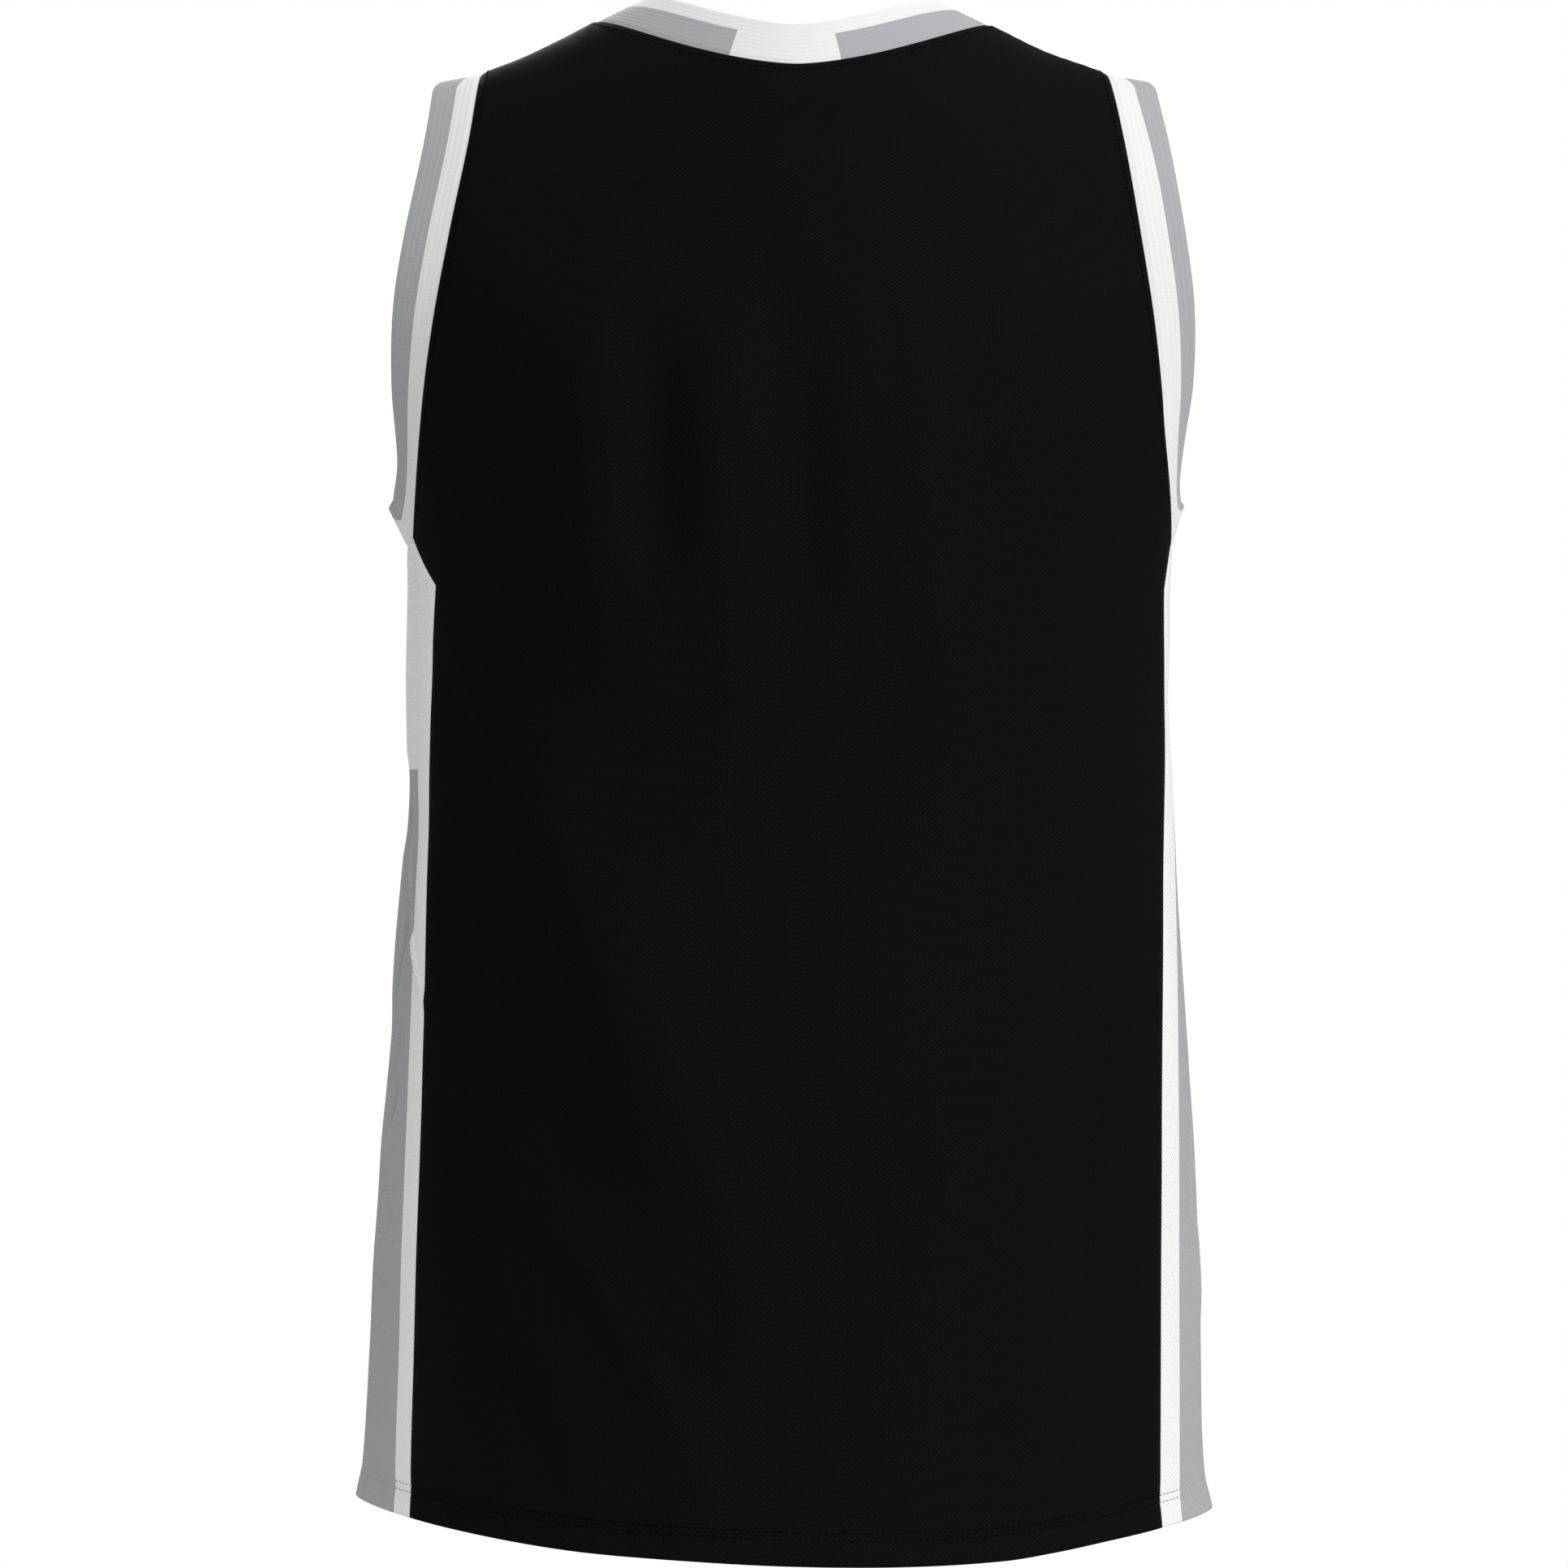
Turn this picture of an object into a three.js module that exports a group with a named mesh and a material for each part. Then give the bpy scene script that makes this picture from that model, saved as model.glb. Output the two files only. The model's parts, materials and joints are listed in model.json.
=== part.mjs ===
// A men's sleeveless basketball jersey in the hollow shape it has when it is worn, size large.
// Millimetres, +Z up. The front faces -Y, so +X is the wearer's left.
// The origin is midway between the shoulder straps, level with the high points of their seams.
//
// The cloth lies on one smooth form. Below the arms the form is a ring at each height. Above them
// its back and front lean in over the shoulders and meet along the shoulder line at y = 0.
import * as THREE from "three";

// Driving sizes
const hemZ = -766; // body length, shoulder point to hem
const hemTurn = 16; // depth of the turned-up hem
const cloth = 1.2; // wall of the panels
const hemCloth = 2.2; // wall where the hem is turned up
const ribCloth = 2; // wall of the knitted ribs
const seamGap = 0.3; // between two sewn pieces
const neckHalf = 102; // half the neck's width at the shoulder seams
const neckDropBack = 36.3;
const neckDropFront = 118;
const neckCurves = { back: 1.65, frontAcross: 0.91, frontFall: 1.24 }; // powers of its curves
const neckRibWidth = 26;
const armRibWidth = 25;
const shoulderSlope = 0.44;
const neckRounding = 24; // how softly the shoulder line passes over the neck
const armholeZ = -267; // where panel, side piece and armhole rib meet
const sideRounding = 0.22; // 0 brings the ring to a point at the sides
const flareZ = -293; // where the side piece reaches its full width below the armhole
const armholeSeam = 79.7; // the side piece's seam at the armhole, in degrees as in "sideSeams"
const armholeTurn = 3.3;
const underarmDip = 4; // the armhole's lowest point lies this far below its corners
const armholeJoin = 60; // over this height the armhole edge bends from the corner to its table
const hemLiftReach = 0.625; // share of the body's height over which the hem's lift dies away

// The form, one row for each height: half width, sideways lean, depth behind and in front of the
// shoulder line, and how round the ring is (2 is an ellipse, 1 comes to a point at the sides).
const rings = [
  { z: -766, half: 221, lean: 2, back: 150, front: 134, round: 1.28 },
  { z: -748, half: 217.2, lean: 2.3, back: 147, front: 132, round: 1.3 },
  { z: -690, half: 214.1, lean: 1.9, back: 145, front: 130, round: 1.34 },
  { z: -640, half: 212, lean: 2, back: 143, front: 128, round: 1.38 },
  { z: -577, half: 208.4, lean: 0.4, back: 138, front: 126, round: 1.44 },
  { z: -514, half: 203.9, lean: -0.8, back: 132, front: 125, round: 1.5 },
  { z: -450, half: 200.6, lean: -0.8, back: 127, front: 125, round: 1.58 },
  { z: -400, half: 198.2, lean: -1.6, back: 125, front: 126, round: 1.64 },
  { z: -340, half: 197, lean: 0, back: 126, front: 127, round: 1.7 },
  { z: -270, half: 197.4, lean: -0.8, back: 128, front: 126, round: 1.78 },
  { z: -213, half: 206, lean: -2, back: 129, front: 123, round: 1.84 },
  { z: -165, half: 214, lean: -2.7, back: 128, front: 118, round: 1.88 },
  { z: -117, half: 219, lean: -3.4, back: 126, front: 114, round: 1.9 },
  { z: -65, half: 222, lean: -4.2, back: 126, front: 112, round: 1.9 },
  { z: 0, half: 224, lean: -2.4, back: 126, front: 112, round: 1.9 },
  { z: 40, half: 224, lean: -2.2, back: 126, front: 112, round: 1.9 },
];

// Above this height each face leans in to the shoulder line, quicker the larger its "run".
const capStart = -230;
const capRun = { back: 1.6, front: 1.7 };

// The worn hem hangs a little higher on the wearer's left, and the shoulders sag between the neck
// and the arm: how far both are lifted at each sideways place.
const lifts = [
  { x: -222, hem: -0.2, shoulder: -0.5 },
  { x: -162, hem: 0.2, shoulder: -0.3 },
  { x: -132, hem: -0.7, shoulder: -2.5 },
  { x: -104, hem: -1.4, shoulder: -0.9 },
  { x: 0, hem: 2.1, shoulder: 0 },
  { x: 48, hem: 3.6, shoulder: 0.3 },
  { x: 97, hem: 3.8, shoulder: 1 },
  { x: 116, hem: 4.1, shoulder: -0.6 },
  { x: 136, hem: 4.6, shoulder: -1.2 },
  { x: 162, hem: 5.2, shoulder: -0.1 },
  { x: 222, hem: 6.2, shoulder: 0 },
];

// The seams beside the side pieces, in degrees round the ring from the middle of the back or front.
// "turn" swings both side pieces round, because the worn cloth is twisted a little on the body.
const sideSeams = [
  { z: -766, seam: 58.7, turn: 0.5 },
  { z: -742, seam: 60.5, turn: 0.6 },
  { z: -692, seam: 61.5, turn: 0.9 },
  { z: -640, seam: 62.4, turn: 1.5 },
  { z: -570, seam: 64.2, turn: 1.4 },
  { z: -520, seam: 66.4, turn: 1.4 },
  { z: -460, seam: 68.7, turn: 2.1 },
  { z: -403, seam: 70.2, turn: 2.8 },
  { z: -366, seam: 70.6, turn: 4.9 },
  { z: -333, seam: 70.5, turn: 6.3 },
  { z: flareZ, seam: 70.6, turn: 6.7 },
];

// The armhole seams of the back and the front: half width at each height.
const armholes = {
  back: [
    { z: armholeZ, x: 190.4 },
    { z: -213, x: 187.3 },
    { z: -165, x: 181 },
    { z: -117, x: 173.1 },
    { z: -65, x: 165.2 },
    { z: -20, x: 160.8 },
  ],
  front: [
    { z: armholeZ, x: 190.4 },
    { z: -213, x: 180.6 },
    { z: -165, x: 170.4 },
    { z: -117, x: 162.4 },
    { z: -65, x: 159 },
    { z: -20, x: 160.8 },
  ],
};

// Which way the armhole rib stands from its seam, one row for each station round the armhole:
// out from the body on the wearer's left and on the right, towards the back, and up.
const armRibLean = [
  { at: 0, left: 0.86, right: 0.9, back: 0, up: -0.15 },
  { at: 0.05, left: 0.91, right: 0.94, back: -0.15, up: -0.2 },
  { at: 0.1, left: 0.94, right: 0.96, back: -0.24, up: -0.12 },
  { at: 0.22, left: 0.93, right: 0.93, back: -0.33, up: -0.02 },
  { at: 0.32, left: 0.66, right: 0.64, back: -0.6, up: 0.1 },
  { at: 0.4, left: 0.48, right: 0.24, back: -0.74, up: 0.36 },
  { at: 0.45, left: 0.46, right: 0.18, back: -0.56, up: 0.62 },
  { at: 0.5, left: 0.4, right: 0.3, back: -0.2, up: 0.84 },
  { at: 0.55, left: 0.3, right: 0.32, back: 0.3, up: 0.72 },
  { at: 0.6, left: 0.46, right: 0.46, back: 0.6, up: 0.42 },
  { at: 0.68, left: 0.76, right: 0.76, back: 0.5, up: 0.12 },
  { at: 0.78, left: 0.93, right: 0.93, back: 0.33, up: -0.02 },
  { at: 0.9, left: 0.93, right: 0.95, back: 0.22, up: -0.14 },
  { at: 1, left: 0.86, right: 0.9, back: 0, up: -0.15 },
];

// Which way the neck rib stands from its seam, from the middle of the back (0) past the shoulder
// seam to the middle of the front (1): in towards the neck, towards the back, and up.
const neckShoulder = 0.4;
const neckRibLean = [
  { at: 0, inward: 0, back: -0.5, up: 0.86 },
  { at: 0.2, inward: 0.5, back: -0.36, up: 0.72 },
  { at: 0.34, inward: 0.86, back: -0.1, up: 0.5 },
  { at: neckShoulder, inward: 0.9, back: 0.02, up: 0.42 },
  { at: 0.6, inward: 0.84, back: 0.22, up: 0.5 },
  { at: 0.8, inward: 0.44, back: 0.36, up: 0.82 },
  { at: 1, inward: 0, back: 0.42, up: 0.9 },
];

// The largest folds. Each runs from one height and sideways place to another, seen square on to
// its face, and stands out (or in, where "out" is negative) by so much over so wide a band. It
// fades where the cloth turns away from its face, and towards its ends.
const foldFacing = { from: 0.15, over: 0.4 };
const foldFade = { past: 0.15, over: 0.45 };
const folds = [
  { face: "back", x1: 178, z1: -300, x2: -22, z2: -700, out: 6.5, width: 34 },
  { face: "back", x1: 158, z1: -420, x2: 60, z2: -735, out: -5, width: 30 },
  { face: "back", x1: 120, z1: -560, x2: 36, z2: -760, out: 4, width: 26 },
  { face: "back", x1: -168, z1: -262, x2: -92, z2: -500, out: -5, width: 26 },
  { face: "back", x1: -176, z1: -300, x2: -60, z2: -640, out: 5, width: 32 },
  { face: "back", x1: -156, z1: -490, x2: -150, z2: -740, out: -4, width: 20 },
  { face: "back", x1: 68, z1: -165, x2: 64, z2: -300, out: -5, width: 19 },
  { face: "back", x1: 0, z1: -150, x2: -8, z2: -340, out: -6, width: 20 },
  { face: "back", x1: 34, z1: -150, x2: 28, z2: -350, out: 2.5, width: 20 },
  { face: "back", x1: -56, z1: -160, x2: -70, z2: -360, out: 4, width: 24 },
  { face: "back", x1: 96, z1: -150, x2: 92, z2: -330, out: 4, width: 26 },
  { face: "back", x1: -86, z1: -140, x2: -92, z2: -280, out: -2.5, width: 16 },
  { face: "back", x1: 170, z1: -334, x2: 129, z2: -449, out: -3, width: 12 },
  { face: "back", x1: -172, z1: -236, x2: -117, z2: -418, out: -2.2, width: 12 },
  { face: "front", x1: 165, z1: -280, x2: 20, z2: -640, out: 6, width: 34 },
  { face: "front", x1: -165, z1: -285, x2: -30, z2: -600, out: 6, width: 34 },
  { face: "front", x1: 130, z1: -420, x2: 70, z2: -730, out: -5, width: 28 },
  { face: "front", x1: -140, z1: -430, x2: -84, z2: -720, out: -5, width: 28 },
  { face: "front", x1: 60, z1: -170, x2: 30, z2: -360, out: 4, width: 24 },
  { face: "front", x1: -52, z1: -180, x2: -24, z2: -380, out: 4, width: 24 },
  { face: "front", x1: -84, z1: -170, x2: -96, z2: -300, out: -2.4, width: 15 },
  { face: "front", x1: -168, z1: -330, x2: -118, z2: -452, out: -2.6, width: 12 },
  { face: "left", x1: 25, z1: -392, x2: 18, z2: -535, out: -4.5, width: 9 },
  { face: "left", x1: 8, z1: -380, x2: 10, z2: -425, out: -2, width: 10 },
  { face: "left", x1: 10, z1: -508, x2: 14, z2: -572, out: -3.6, width: 12 },
  { face: "left", x1: -4, z1: -450, x2: -16, z2: -600, out: 2.5, width: 16 },
  { face: "left", x1: 16, z1: -590, x2: 24, z2: -700, out: -2.4, width: 12 },
  { face: "right", x1: 8, z1: -330, x2: -8, z2: -480, out: -2.2, width: 10 },
  { face: "right", x1: -20, z1: -480, x2: 6, z2: -700, out: 2, width: 16 },
];

// How finely the solids are cut.
const neckColumns = 11; // grid columns from the middle to the neck's corner
const strapColumns = 4; // and on to the shoulder's end
const sideColumns = 10;
const strapStart = 0.46; // share of the front armhole below the straps
const panelRows = {
  back: { split: 1, yoke: 17, strap: 0 },
  front: { split: 0.52, yoke: 9, strap: 9 },
};
const lowerRows = [
  -766, -751, -749, -725, -690, -655, -615, -577, -540, -500, -460, -425, -390, -350, -320,
  flareZ, -280, armholeZ,
];
const ribRows = 3;

const degree = Math.PI / 180;
const mix = (a, b, t) => a + (b - a) * t;
const smooth = (t) => t * t * (3 - 2 * t);
const clamp = (t, low = 0, high = 1) => Math.min(high, Math.max(low, t));

// One column of a table, read at any height by a smooth curve through its rows.
function read(table, key, at, value) {
  const last = table.length - 1;
  const here = clamp(value, table[0][at], table[last][at]);
  let i = 0;
  while (i < last - 1 && here > table[i + 1][at]) i++;
  const slope = (j) => {
    const a = table[Math.max(j - 1, 0)];
    const b = table[Math.min(j + 1, last)];
    return (b[key] - a[key]) / (b[at] - a[at]);
  };
  const [a, b] = [table[i], table[i + 1]];
  const step = b[at] - a[at];
  const t = (here - a[at]) / step;
  const ease = smooth(t);
  const leave = (t * t * t - 2 * t * t + t) * step * slope(i);
  const arrive = (t * t * t - t * t) * step * slope(i + 1);
  return a[key] + (b[key] - a[key]) * ease + leave + arrive;
}
const ring = (key, z) => read(rings, key, "z", z);

// Height of the shoulder line over the sideways place x.
function shoulderLine(x) {
  const spread = Math.hypot(x, neckRounding) - Math.hypot(neckHalf, neckRounding);
  return -shoulderSlope * spread;
}

// Share of the ring's depth at a place that lies "inward" (0 to 1) from the ring's side.
function depthShare(inward, z) {
  const bend = 1 / ring("round", z) - 0.5;
  const soft = sideRounding * sideRounding;
  return inward * ((inward * inward + soft) / (1 + soft)) ** bend;
}

// Moves a point up as the worn garment hangs.
function settled(point) {
  const share = clamp((point.z - hemZ) / -hemZ);
  const hem = read(lifts, "hem", "x", point.x) * smooth(clamp(1 - share / hemLiftReach));
  point.z += hem + read(lifts, "shoulder", "x", point.x) * share;
  return point;
}

// A point of the back or front face. "level" is 0 at the hem, 1 where the face starts to lean in,
// and 2 on the shoulder line.
function facePoint(face, x, level) {
  const sign = face === "back" ? 1 : -1;
  let z = mix(hemZ, capStart, level);
  let closing = 1;
  if (level > 1) {
    const lean = clamp(level - 1) * 90 * degree;
    z = mix(capStart, shoulderLine(x), Math.sin(lean));
    closing = Math.max(Math.cos(lean), 0) ** (2 / capRun[face]);
  }
  const across = clamp(x / ring("half", z), -1, 1);
  const depth = ring(face, z) * depthShare(Math.sqrt(1 - across * across), z) * closing;
  return settled(new THREE.Vector3(x + ring("lean", z), sign * (depth + seamGap / 2), z));
}

// The level at which either face passes the height z over the sideways place x.
function levelOf(x, z) {
  if (z <= capStart) return (z - hemZ) / (capStart - hemZ);
  const share = clamp((z - capStart) / (shoulderLine(x) - capStart));
  return 1 + Math.asin(share) / (90 * degree);
}

// A point of the ring at the height z, "turn" degrees round from the middle of the back.
function ringPoint(turn, z) {
  const face = Math.cos(turn * degree) > 0 ? "back" : "front";
  const along = depthShare(Math.abs(Math.cos(turn * degree)), z);
  const sign = face === "back" ? 1 : -1;
  return settled(new THREE.Vector3(
    ring("half", z) * Math.sin(turn * degree) + ring("lean", z),
    sign * (ring(face, z) * along + seamGap / 2),
    z,
  ));
}

// Outward normal of a surface given as a function of two numbers.
function normalOf(point, a, b, stepA, stepB, outward) {
  const alongA = point(a + stepA, b).sub(point(a - stepA, b));
  const alongB = point(a, b + stepB).sub(point(a, b - stepB));
  const normal = alongA.cross(alongB).normalize();
  return normal.dot(outward) < 0 ? normal.negate() : normal;
}

// How far the folds push a point out along its normal.
function foldHeight(point, normal) {
  let sum = 0;
  for (const fold of folds) {
    const sideways = fold.face === "left" || fold.face === "right";
    const facing = {
      back: normal.y, front: -normal.y, left: normal.x, right: -normal.x,
    }[fold.face];
    const place = sideways ? point.y : point.x;
    const seen = smooth(clamp((facing - foldFacing.from) / foldFacing.over));
    if (!seen) continue;
    const [dx, dz] = [fold.x2 - fold.x1, fold.z2 - fold.z1];
    const length = Math.hypot(dx, dz);
    const along = ((place - fold.x1) * dx + (point.z - fold.z1) * dz) / (length * length);
    const beside = ((place - fold.x1) * dz - (point.z - fold.z1) * dx) / length;
    const first = smooth(clamp((along + foldFade.past) / foldFade.over));
    const last = smooth(clamp((1 + foldFade.past - along) / foldFade.over));
    sum += fold.out * seen * first * last * Math.exp(-((beside / fold.width) ** 2));
  }
  return sum;
}

// A closed wall round one or more grids of vertices { point, normal, deep }. Grids may share
// vertices. The wall stands half the cloth's thickness outside the points and is "deep" thick.
function wall(grids) {
  const vertices = [...new Set(grids.flat(2))];
  const number = new Map(vertices.map((vertex, i) => [vertex, i]));
  const outside = vertices.map(({ point, normal }) =>
    point.clone().addScaledVector(normal, cloth / 2));
  const inside = vertices.map(({ point, normal, deep }) =>
    point.clone().addScaledVector(normal, cloth / 2 - deep));
  const positions = [...outside, ...inside].flatMap((p) => [p.x, p.y, p.z]);
  const index = [];
  const quad = (a, b, c, d) => index.push(a, b, c, a, c, d);
  const rim = new Map();
  const under = vertices.length;
  for (const grid of grids) {
    for (let i = 0; i < grid.length - 1; i++) {
      for (let j = 0; j < grid[i].length - 1; j++) {
        const corners = [grid[i][j], grid[i][j + 1], grid[i + 1][j + 1], grid[i + 1][j]];
        const [a, b, c, d] = corners.map((vertex) => number.get(vertex));
        quad(a, b, c, d);
        quad(under + a, under + d, under + c, under + b);
        for (const [from, to] of [[a, b], [b, c], [c, d], [d, a]]) {
          if (!rim.delete(`${to} ${from}`)) rim.set(`${from} ${to}`, [from, to]);
        }
      }
    }
  }
  for (const [from, to] of rim.values()) quad(to, from, under + from, under + to);
  const geometry = new THREE.BufferGeometry();
  geometry.setAttribute("position", new THREE.Float32BufferAttribute(positions, 3));
  geometry.setIndex(index);
  return geometry;
}

// Turns every face of a geometry round if its volume comes out negative.
function facingOut(geometry) {
  const p = geometry.getAttribute("position");
  const order = geometry.getIndex().array;
  const corner = (i) => new THREE.Vector3().fromBufferAttribute(p, order[i]);
  let volume = 0;
  for (let i = 0; i < order.length; i += 3) {
    volume += corner(i).dot(corner(i + 1).cross(corner(i + 2)));
  }
  if (volume < 0) {
    for (let i = 0; i < order.length; i += 3) {
      [order[i + 1], order[i + 2]] = [order[i + 2], order[i + 1]];
    }
  }
  geometry.computeVertexNormals();
  return geometry;
}

// Degrees round the ring of the seam between a side piece and the back or front. The piece narrows
// in straight lines from the height "flareZ" up to the armhole.
function seamTurn(side, face, z) {
  const narrow = clamp((z - flareZ) / (armholeZ - flareZ));
  const turn = mix(read(sideSeams, "turn", "z", z), armholeTurn, narrow);
  const seam = mix(read(sideSeams, "seam", "z", z), armholeSeam, narrow);
  const fromBack = face === "back" ? seam : 180 - seam;
  return side * fromBack - turn;
}

// Sideways place of that seam, drawn back from it by half the gap.
function seamX(side, face, z) {
  const turn = seamTurn(side, face, z);
  const edge = ring("half", z) * Math.sin(turn * degree);
  return edge - side * (seamGap / 2) * Math.max(Math.abs(Math.cos(turn * degree)), 0.35);
}

// The edge of a panel's upper part along its armhole, as a sideways place and a level.
function armholeEdge(side, face, share) {
  const corner = seamX(side, face, armholeZ);
  const first = levelOf(corner, armholeZ);
  const level = mix(first, 2, share);
  let x = corner;
  for (let round = 0; round < 6; round++) {
    const z = facePoint(face, x, level).z;
    const straight = read(armholes[face], "x", "z", z);
    const join = smooth(clamp((z - armholeZ) / armholeJoin));
    x = mix(corner + side * (straight - armholes[face][0].x), side * straight, join);
  }
  return { x, level };
}

// The neck edge, from the middle (0) out to the shoulder seam (1 or -1).
function neckEdge(face, share) {
  const [side, out] = [Math.sign(share), Math.abs(share)];
  const turn = out * 90 * degree;
  const x = neckHalf * (face === "back" ? out : Math.sin(turn) ** neckCurves.frontAcross);
  const fall = face === "back" ? neckDropBack * (1 - out ** neckCurves.back)
    : neckDropFront * Math.cos(turn) ** neckCurves.frontFall;
  return { x: side * x, level: levelOf(x, -fall) };
}

// The point of a patch stretched between four edges, each a function of a share from 0 to 1.
function stretched(across, up, { bottom, top, left, right }) {
  const value = (key) => mix(bottom(across)[key], top(across)[key], up)
    + mix(left(up)[key], right(up)[key], across)
    - mix(mix(bottom(0)[key], bottom(1)[key], across),
      mix(top(0)[key], top(1)[key], across), up);
  return { x: value("x"), level: Math.min(value("level"), 2) };
}

const between = (a, b, t) => ({ x: mix(a.x, b.x, t), level: mix(a.level, b.level, t) });
const upTo = (count) => Array.from({ length: count + 1 }, (_, i) => i / count);

// A back or front panel: the body's rows, the rows beside the armholes, and on the front the two
// straps, which leave the neck edge at its share "split".
function panel(face) {
  const { split, yoke, strap } = panelRows[face];
  const outward = new THREE.Vector3(0, face === "back" ? 1 : -1, 0.4);
  const surface = (a, b) => facePoint(face, a, b);
  const place = ({ x, level }) => {
    const point = surface(x, level);
    const normal = normalOf(surface, x, Math.min(level, 1.998), 0.5, 0.001, outward);
    point.addScaledVector(normal, foldHeight(point, normal));
    return { point, normal, deep: cloth };
  };
  const across = upTo(2 * (neckColumns + strapColumns));
  const body = lowerRows.map((z) => across.map((s) => {
    const x = mix(seamX(-1, face, z), seamX(1, face, z), s);
    const vertex = place({ x, level: levelOf(x, z) });
    return Object.assign(vertex, { deep: z < hemZ + hemTurn ? hemCloth : cloth });
  }));
  const armholeSplit = split < 1 ? strapStart : 1;
  const half = neckColumns / (neckColumns + strapColumns);
  const armhole = (side, v) => armholeEdge(side, face, v);
  const yokeEdges = {
    bottom: (s) => between(armhole(-1, 0), armhole(1, 0), s),
    left: (v) => armhole(-1, v * armholeSplit),
    right: (v) => armhole(1, v * armholeSplit),
    top: (s) => {
      const out = 2 * s - 1;
      if (Math.abs(out) <= half) return neckEdge(face, (out / half) * split);
      const side = Math.sign(out);
      const share = (Math.abs(out) - half) / (1 - half);
      return between(neckEdge(face, side * split), armhole(side, armholeSplit), share);
    },
  };
  const upper = upTo(yoke).slice(1).map((v) =>
    across.map((s) => place(stretched(s, v, yokeEdges))));
  const main = [...body, ...upper];
  const straps = split < 1 ? [-1, 1].map((side) => {
    const neck = (v) => neckEdge(face, side * mix(split, 1, v));
    const outer = (v) => armhole(side, mix(armholeSplit, 1, v));
    const [left, right] = side < 0 ? [outer, neck] : [neck, outer];
    const edges = {
      left,
      right,
      bottom: (s) => between(left(0), right(0), s),
      top: (s) => between(left(1), right(1), s),
    };
    const last = main.at(-1);
    const start = side < 0 ? last.slice(0, strapColumns + 1) : last.slice(-strapColumns - 1);
    const rows = upTo(strap).slice(1).map((v) =>
      upTo(strapColumns).map((s) => place(stretched(s, v, edges))));
    return [start, ...rows];
  }) : [];
  return { main, straps };
}

// The vertices along a panel's armhole on one side, from the body's top row up to the shoulder.
function armholeLine({ main, straps }, side) {
  const line = (grid) => grid.map((row) => row.at(side < 0 ? 0 : -1));
  const start = line(main).slice(lowerRows.length - 1);
  return straps.length ? [...start, ...line(straps[side < 0 ? 0 : 1]).slice(1)] : start;
}

// The vertices along a panel's neck edge, from the wearer's right shoulder to the left.
function neckLine({ main, straps }) {
  const middle = main.at(-1).slice(strapColumns, -strapColumns);
  if (!straps.length) return middle;
  const right = straps[0].slice(1).map((row) => row.at(-1)).reverse();
  const left = straps[1].slice(1).map((row) => row[0]);
  return [...right, ...middle, ...left];
}

// The grid of a side piece, from its back seam round to its front seam.
function sideGrid(side) {
  const outward = new THREE.Vector3(side, 0, 0);
  return lowerRows.map((z) => {
    const [from, to] = ["back", "front"].map((face) => {
      const turn = seamTurn(side, face, z);
      const step = seamGap / 2 / ringPoint(turn, z).distanceTo(ringPoint(turn + 1, z));
      return turn + (face === "back" ? 1 : -1) * side * step;
    });
    return Array.from({ length: sideColumns + 1 }, (_, j) => {
      const share = j / sideColumns;
      const rise = (z - flareZ) / (armholeZ - flareZ);
      const dip = underarmDip * clamp(rise) * Math.sin(share * Math.PI);
      const turn = mix(from, to, share);
      const point = ringPoint(turn, z - dip);
      const normal = normalOf(ringPoint, turn, z - dip, 0.5, 0.5, outward);
      point.addScaledVector(normal, foldHeight(point, normal));
      return { point, normal, deep: z < hemZ + hemTurn ? hemCloth : cloth };
    });
  });
}

// A rib sewn on to a closed line of seam vertices. It starts at the seam and stands the way that
// "lean" gives for each share of the line's length.
function rib(seam, width, lean) {
  const steps = seam.map((v, i) => v.point.distanceTo(seam[(i + 1) % seam.length].point));
  const whole = steps.reduce((a, b) => a + b, 0);
  let run = 0;
  const grid = seam.map((start, i) => {
    const along = seam[(i + 1) % seam.length].point.clone().sub(seam.at(i - 1).point).normalize();
    const way = lean(run / whole).normalize();
    run += steps[i];
    const face = along.cross(way).normalize();
    if (face.dot(start.normal) < 0) face.negate();
    return upTo(ribRows).map((share) => ({
      point: start.point.clone().addScaledVector(way, seamGap + width * share),
      normal: start.normal.clone().lerp(face, smooth(share)).normalize(),
      deep: ribCloth,
    }));
  });
  return [...grid, grid[0]];
}

// A copy of a shoulder vertex, moved to the shoulder line between back and front.
function onShoulder({ point, normal }) {
  return { point: point.clone().setY(0), normal: normal.clone().setY(0).normalize() };
}

// An armhole rib, from the shoulder down the back, under the arm and up the front.
function armholeRib(side, back, front, sidePiece) {
  const down = armholeLine(back, side).reverse();
  const up = armholeLine(front, side).slice(0, -1);
  const seam = [onShoulder(down[0]), ...down.slice(1), ...sidePiece.at(-1).slice(1, -1), ...up];
  return rib(seam, armRibWidth, (share) => new THREE.Vector3(
    side * read(armRibLean, side > 0 ? "left" : "right", "at", share),
    read(armRibLean, "back", "at", share),
    read(armRibLean, "up", "at", share),
  ));
}

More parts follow.
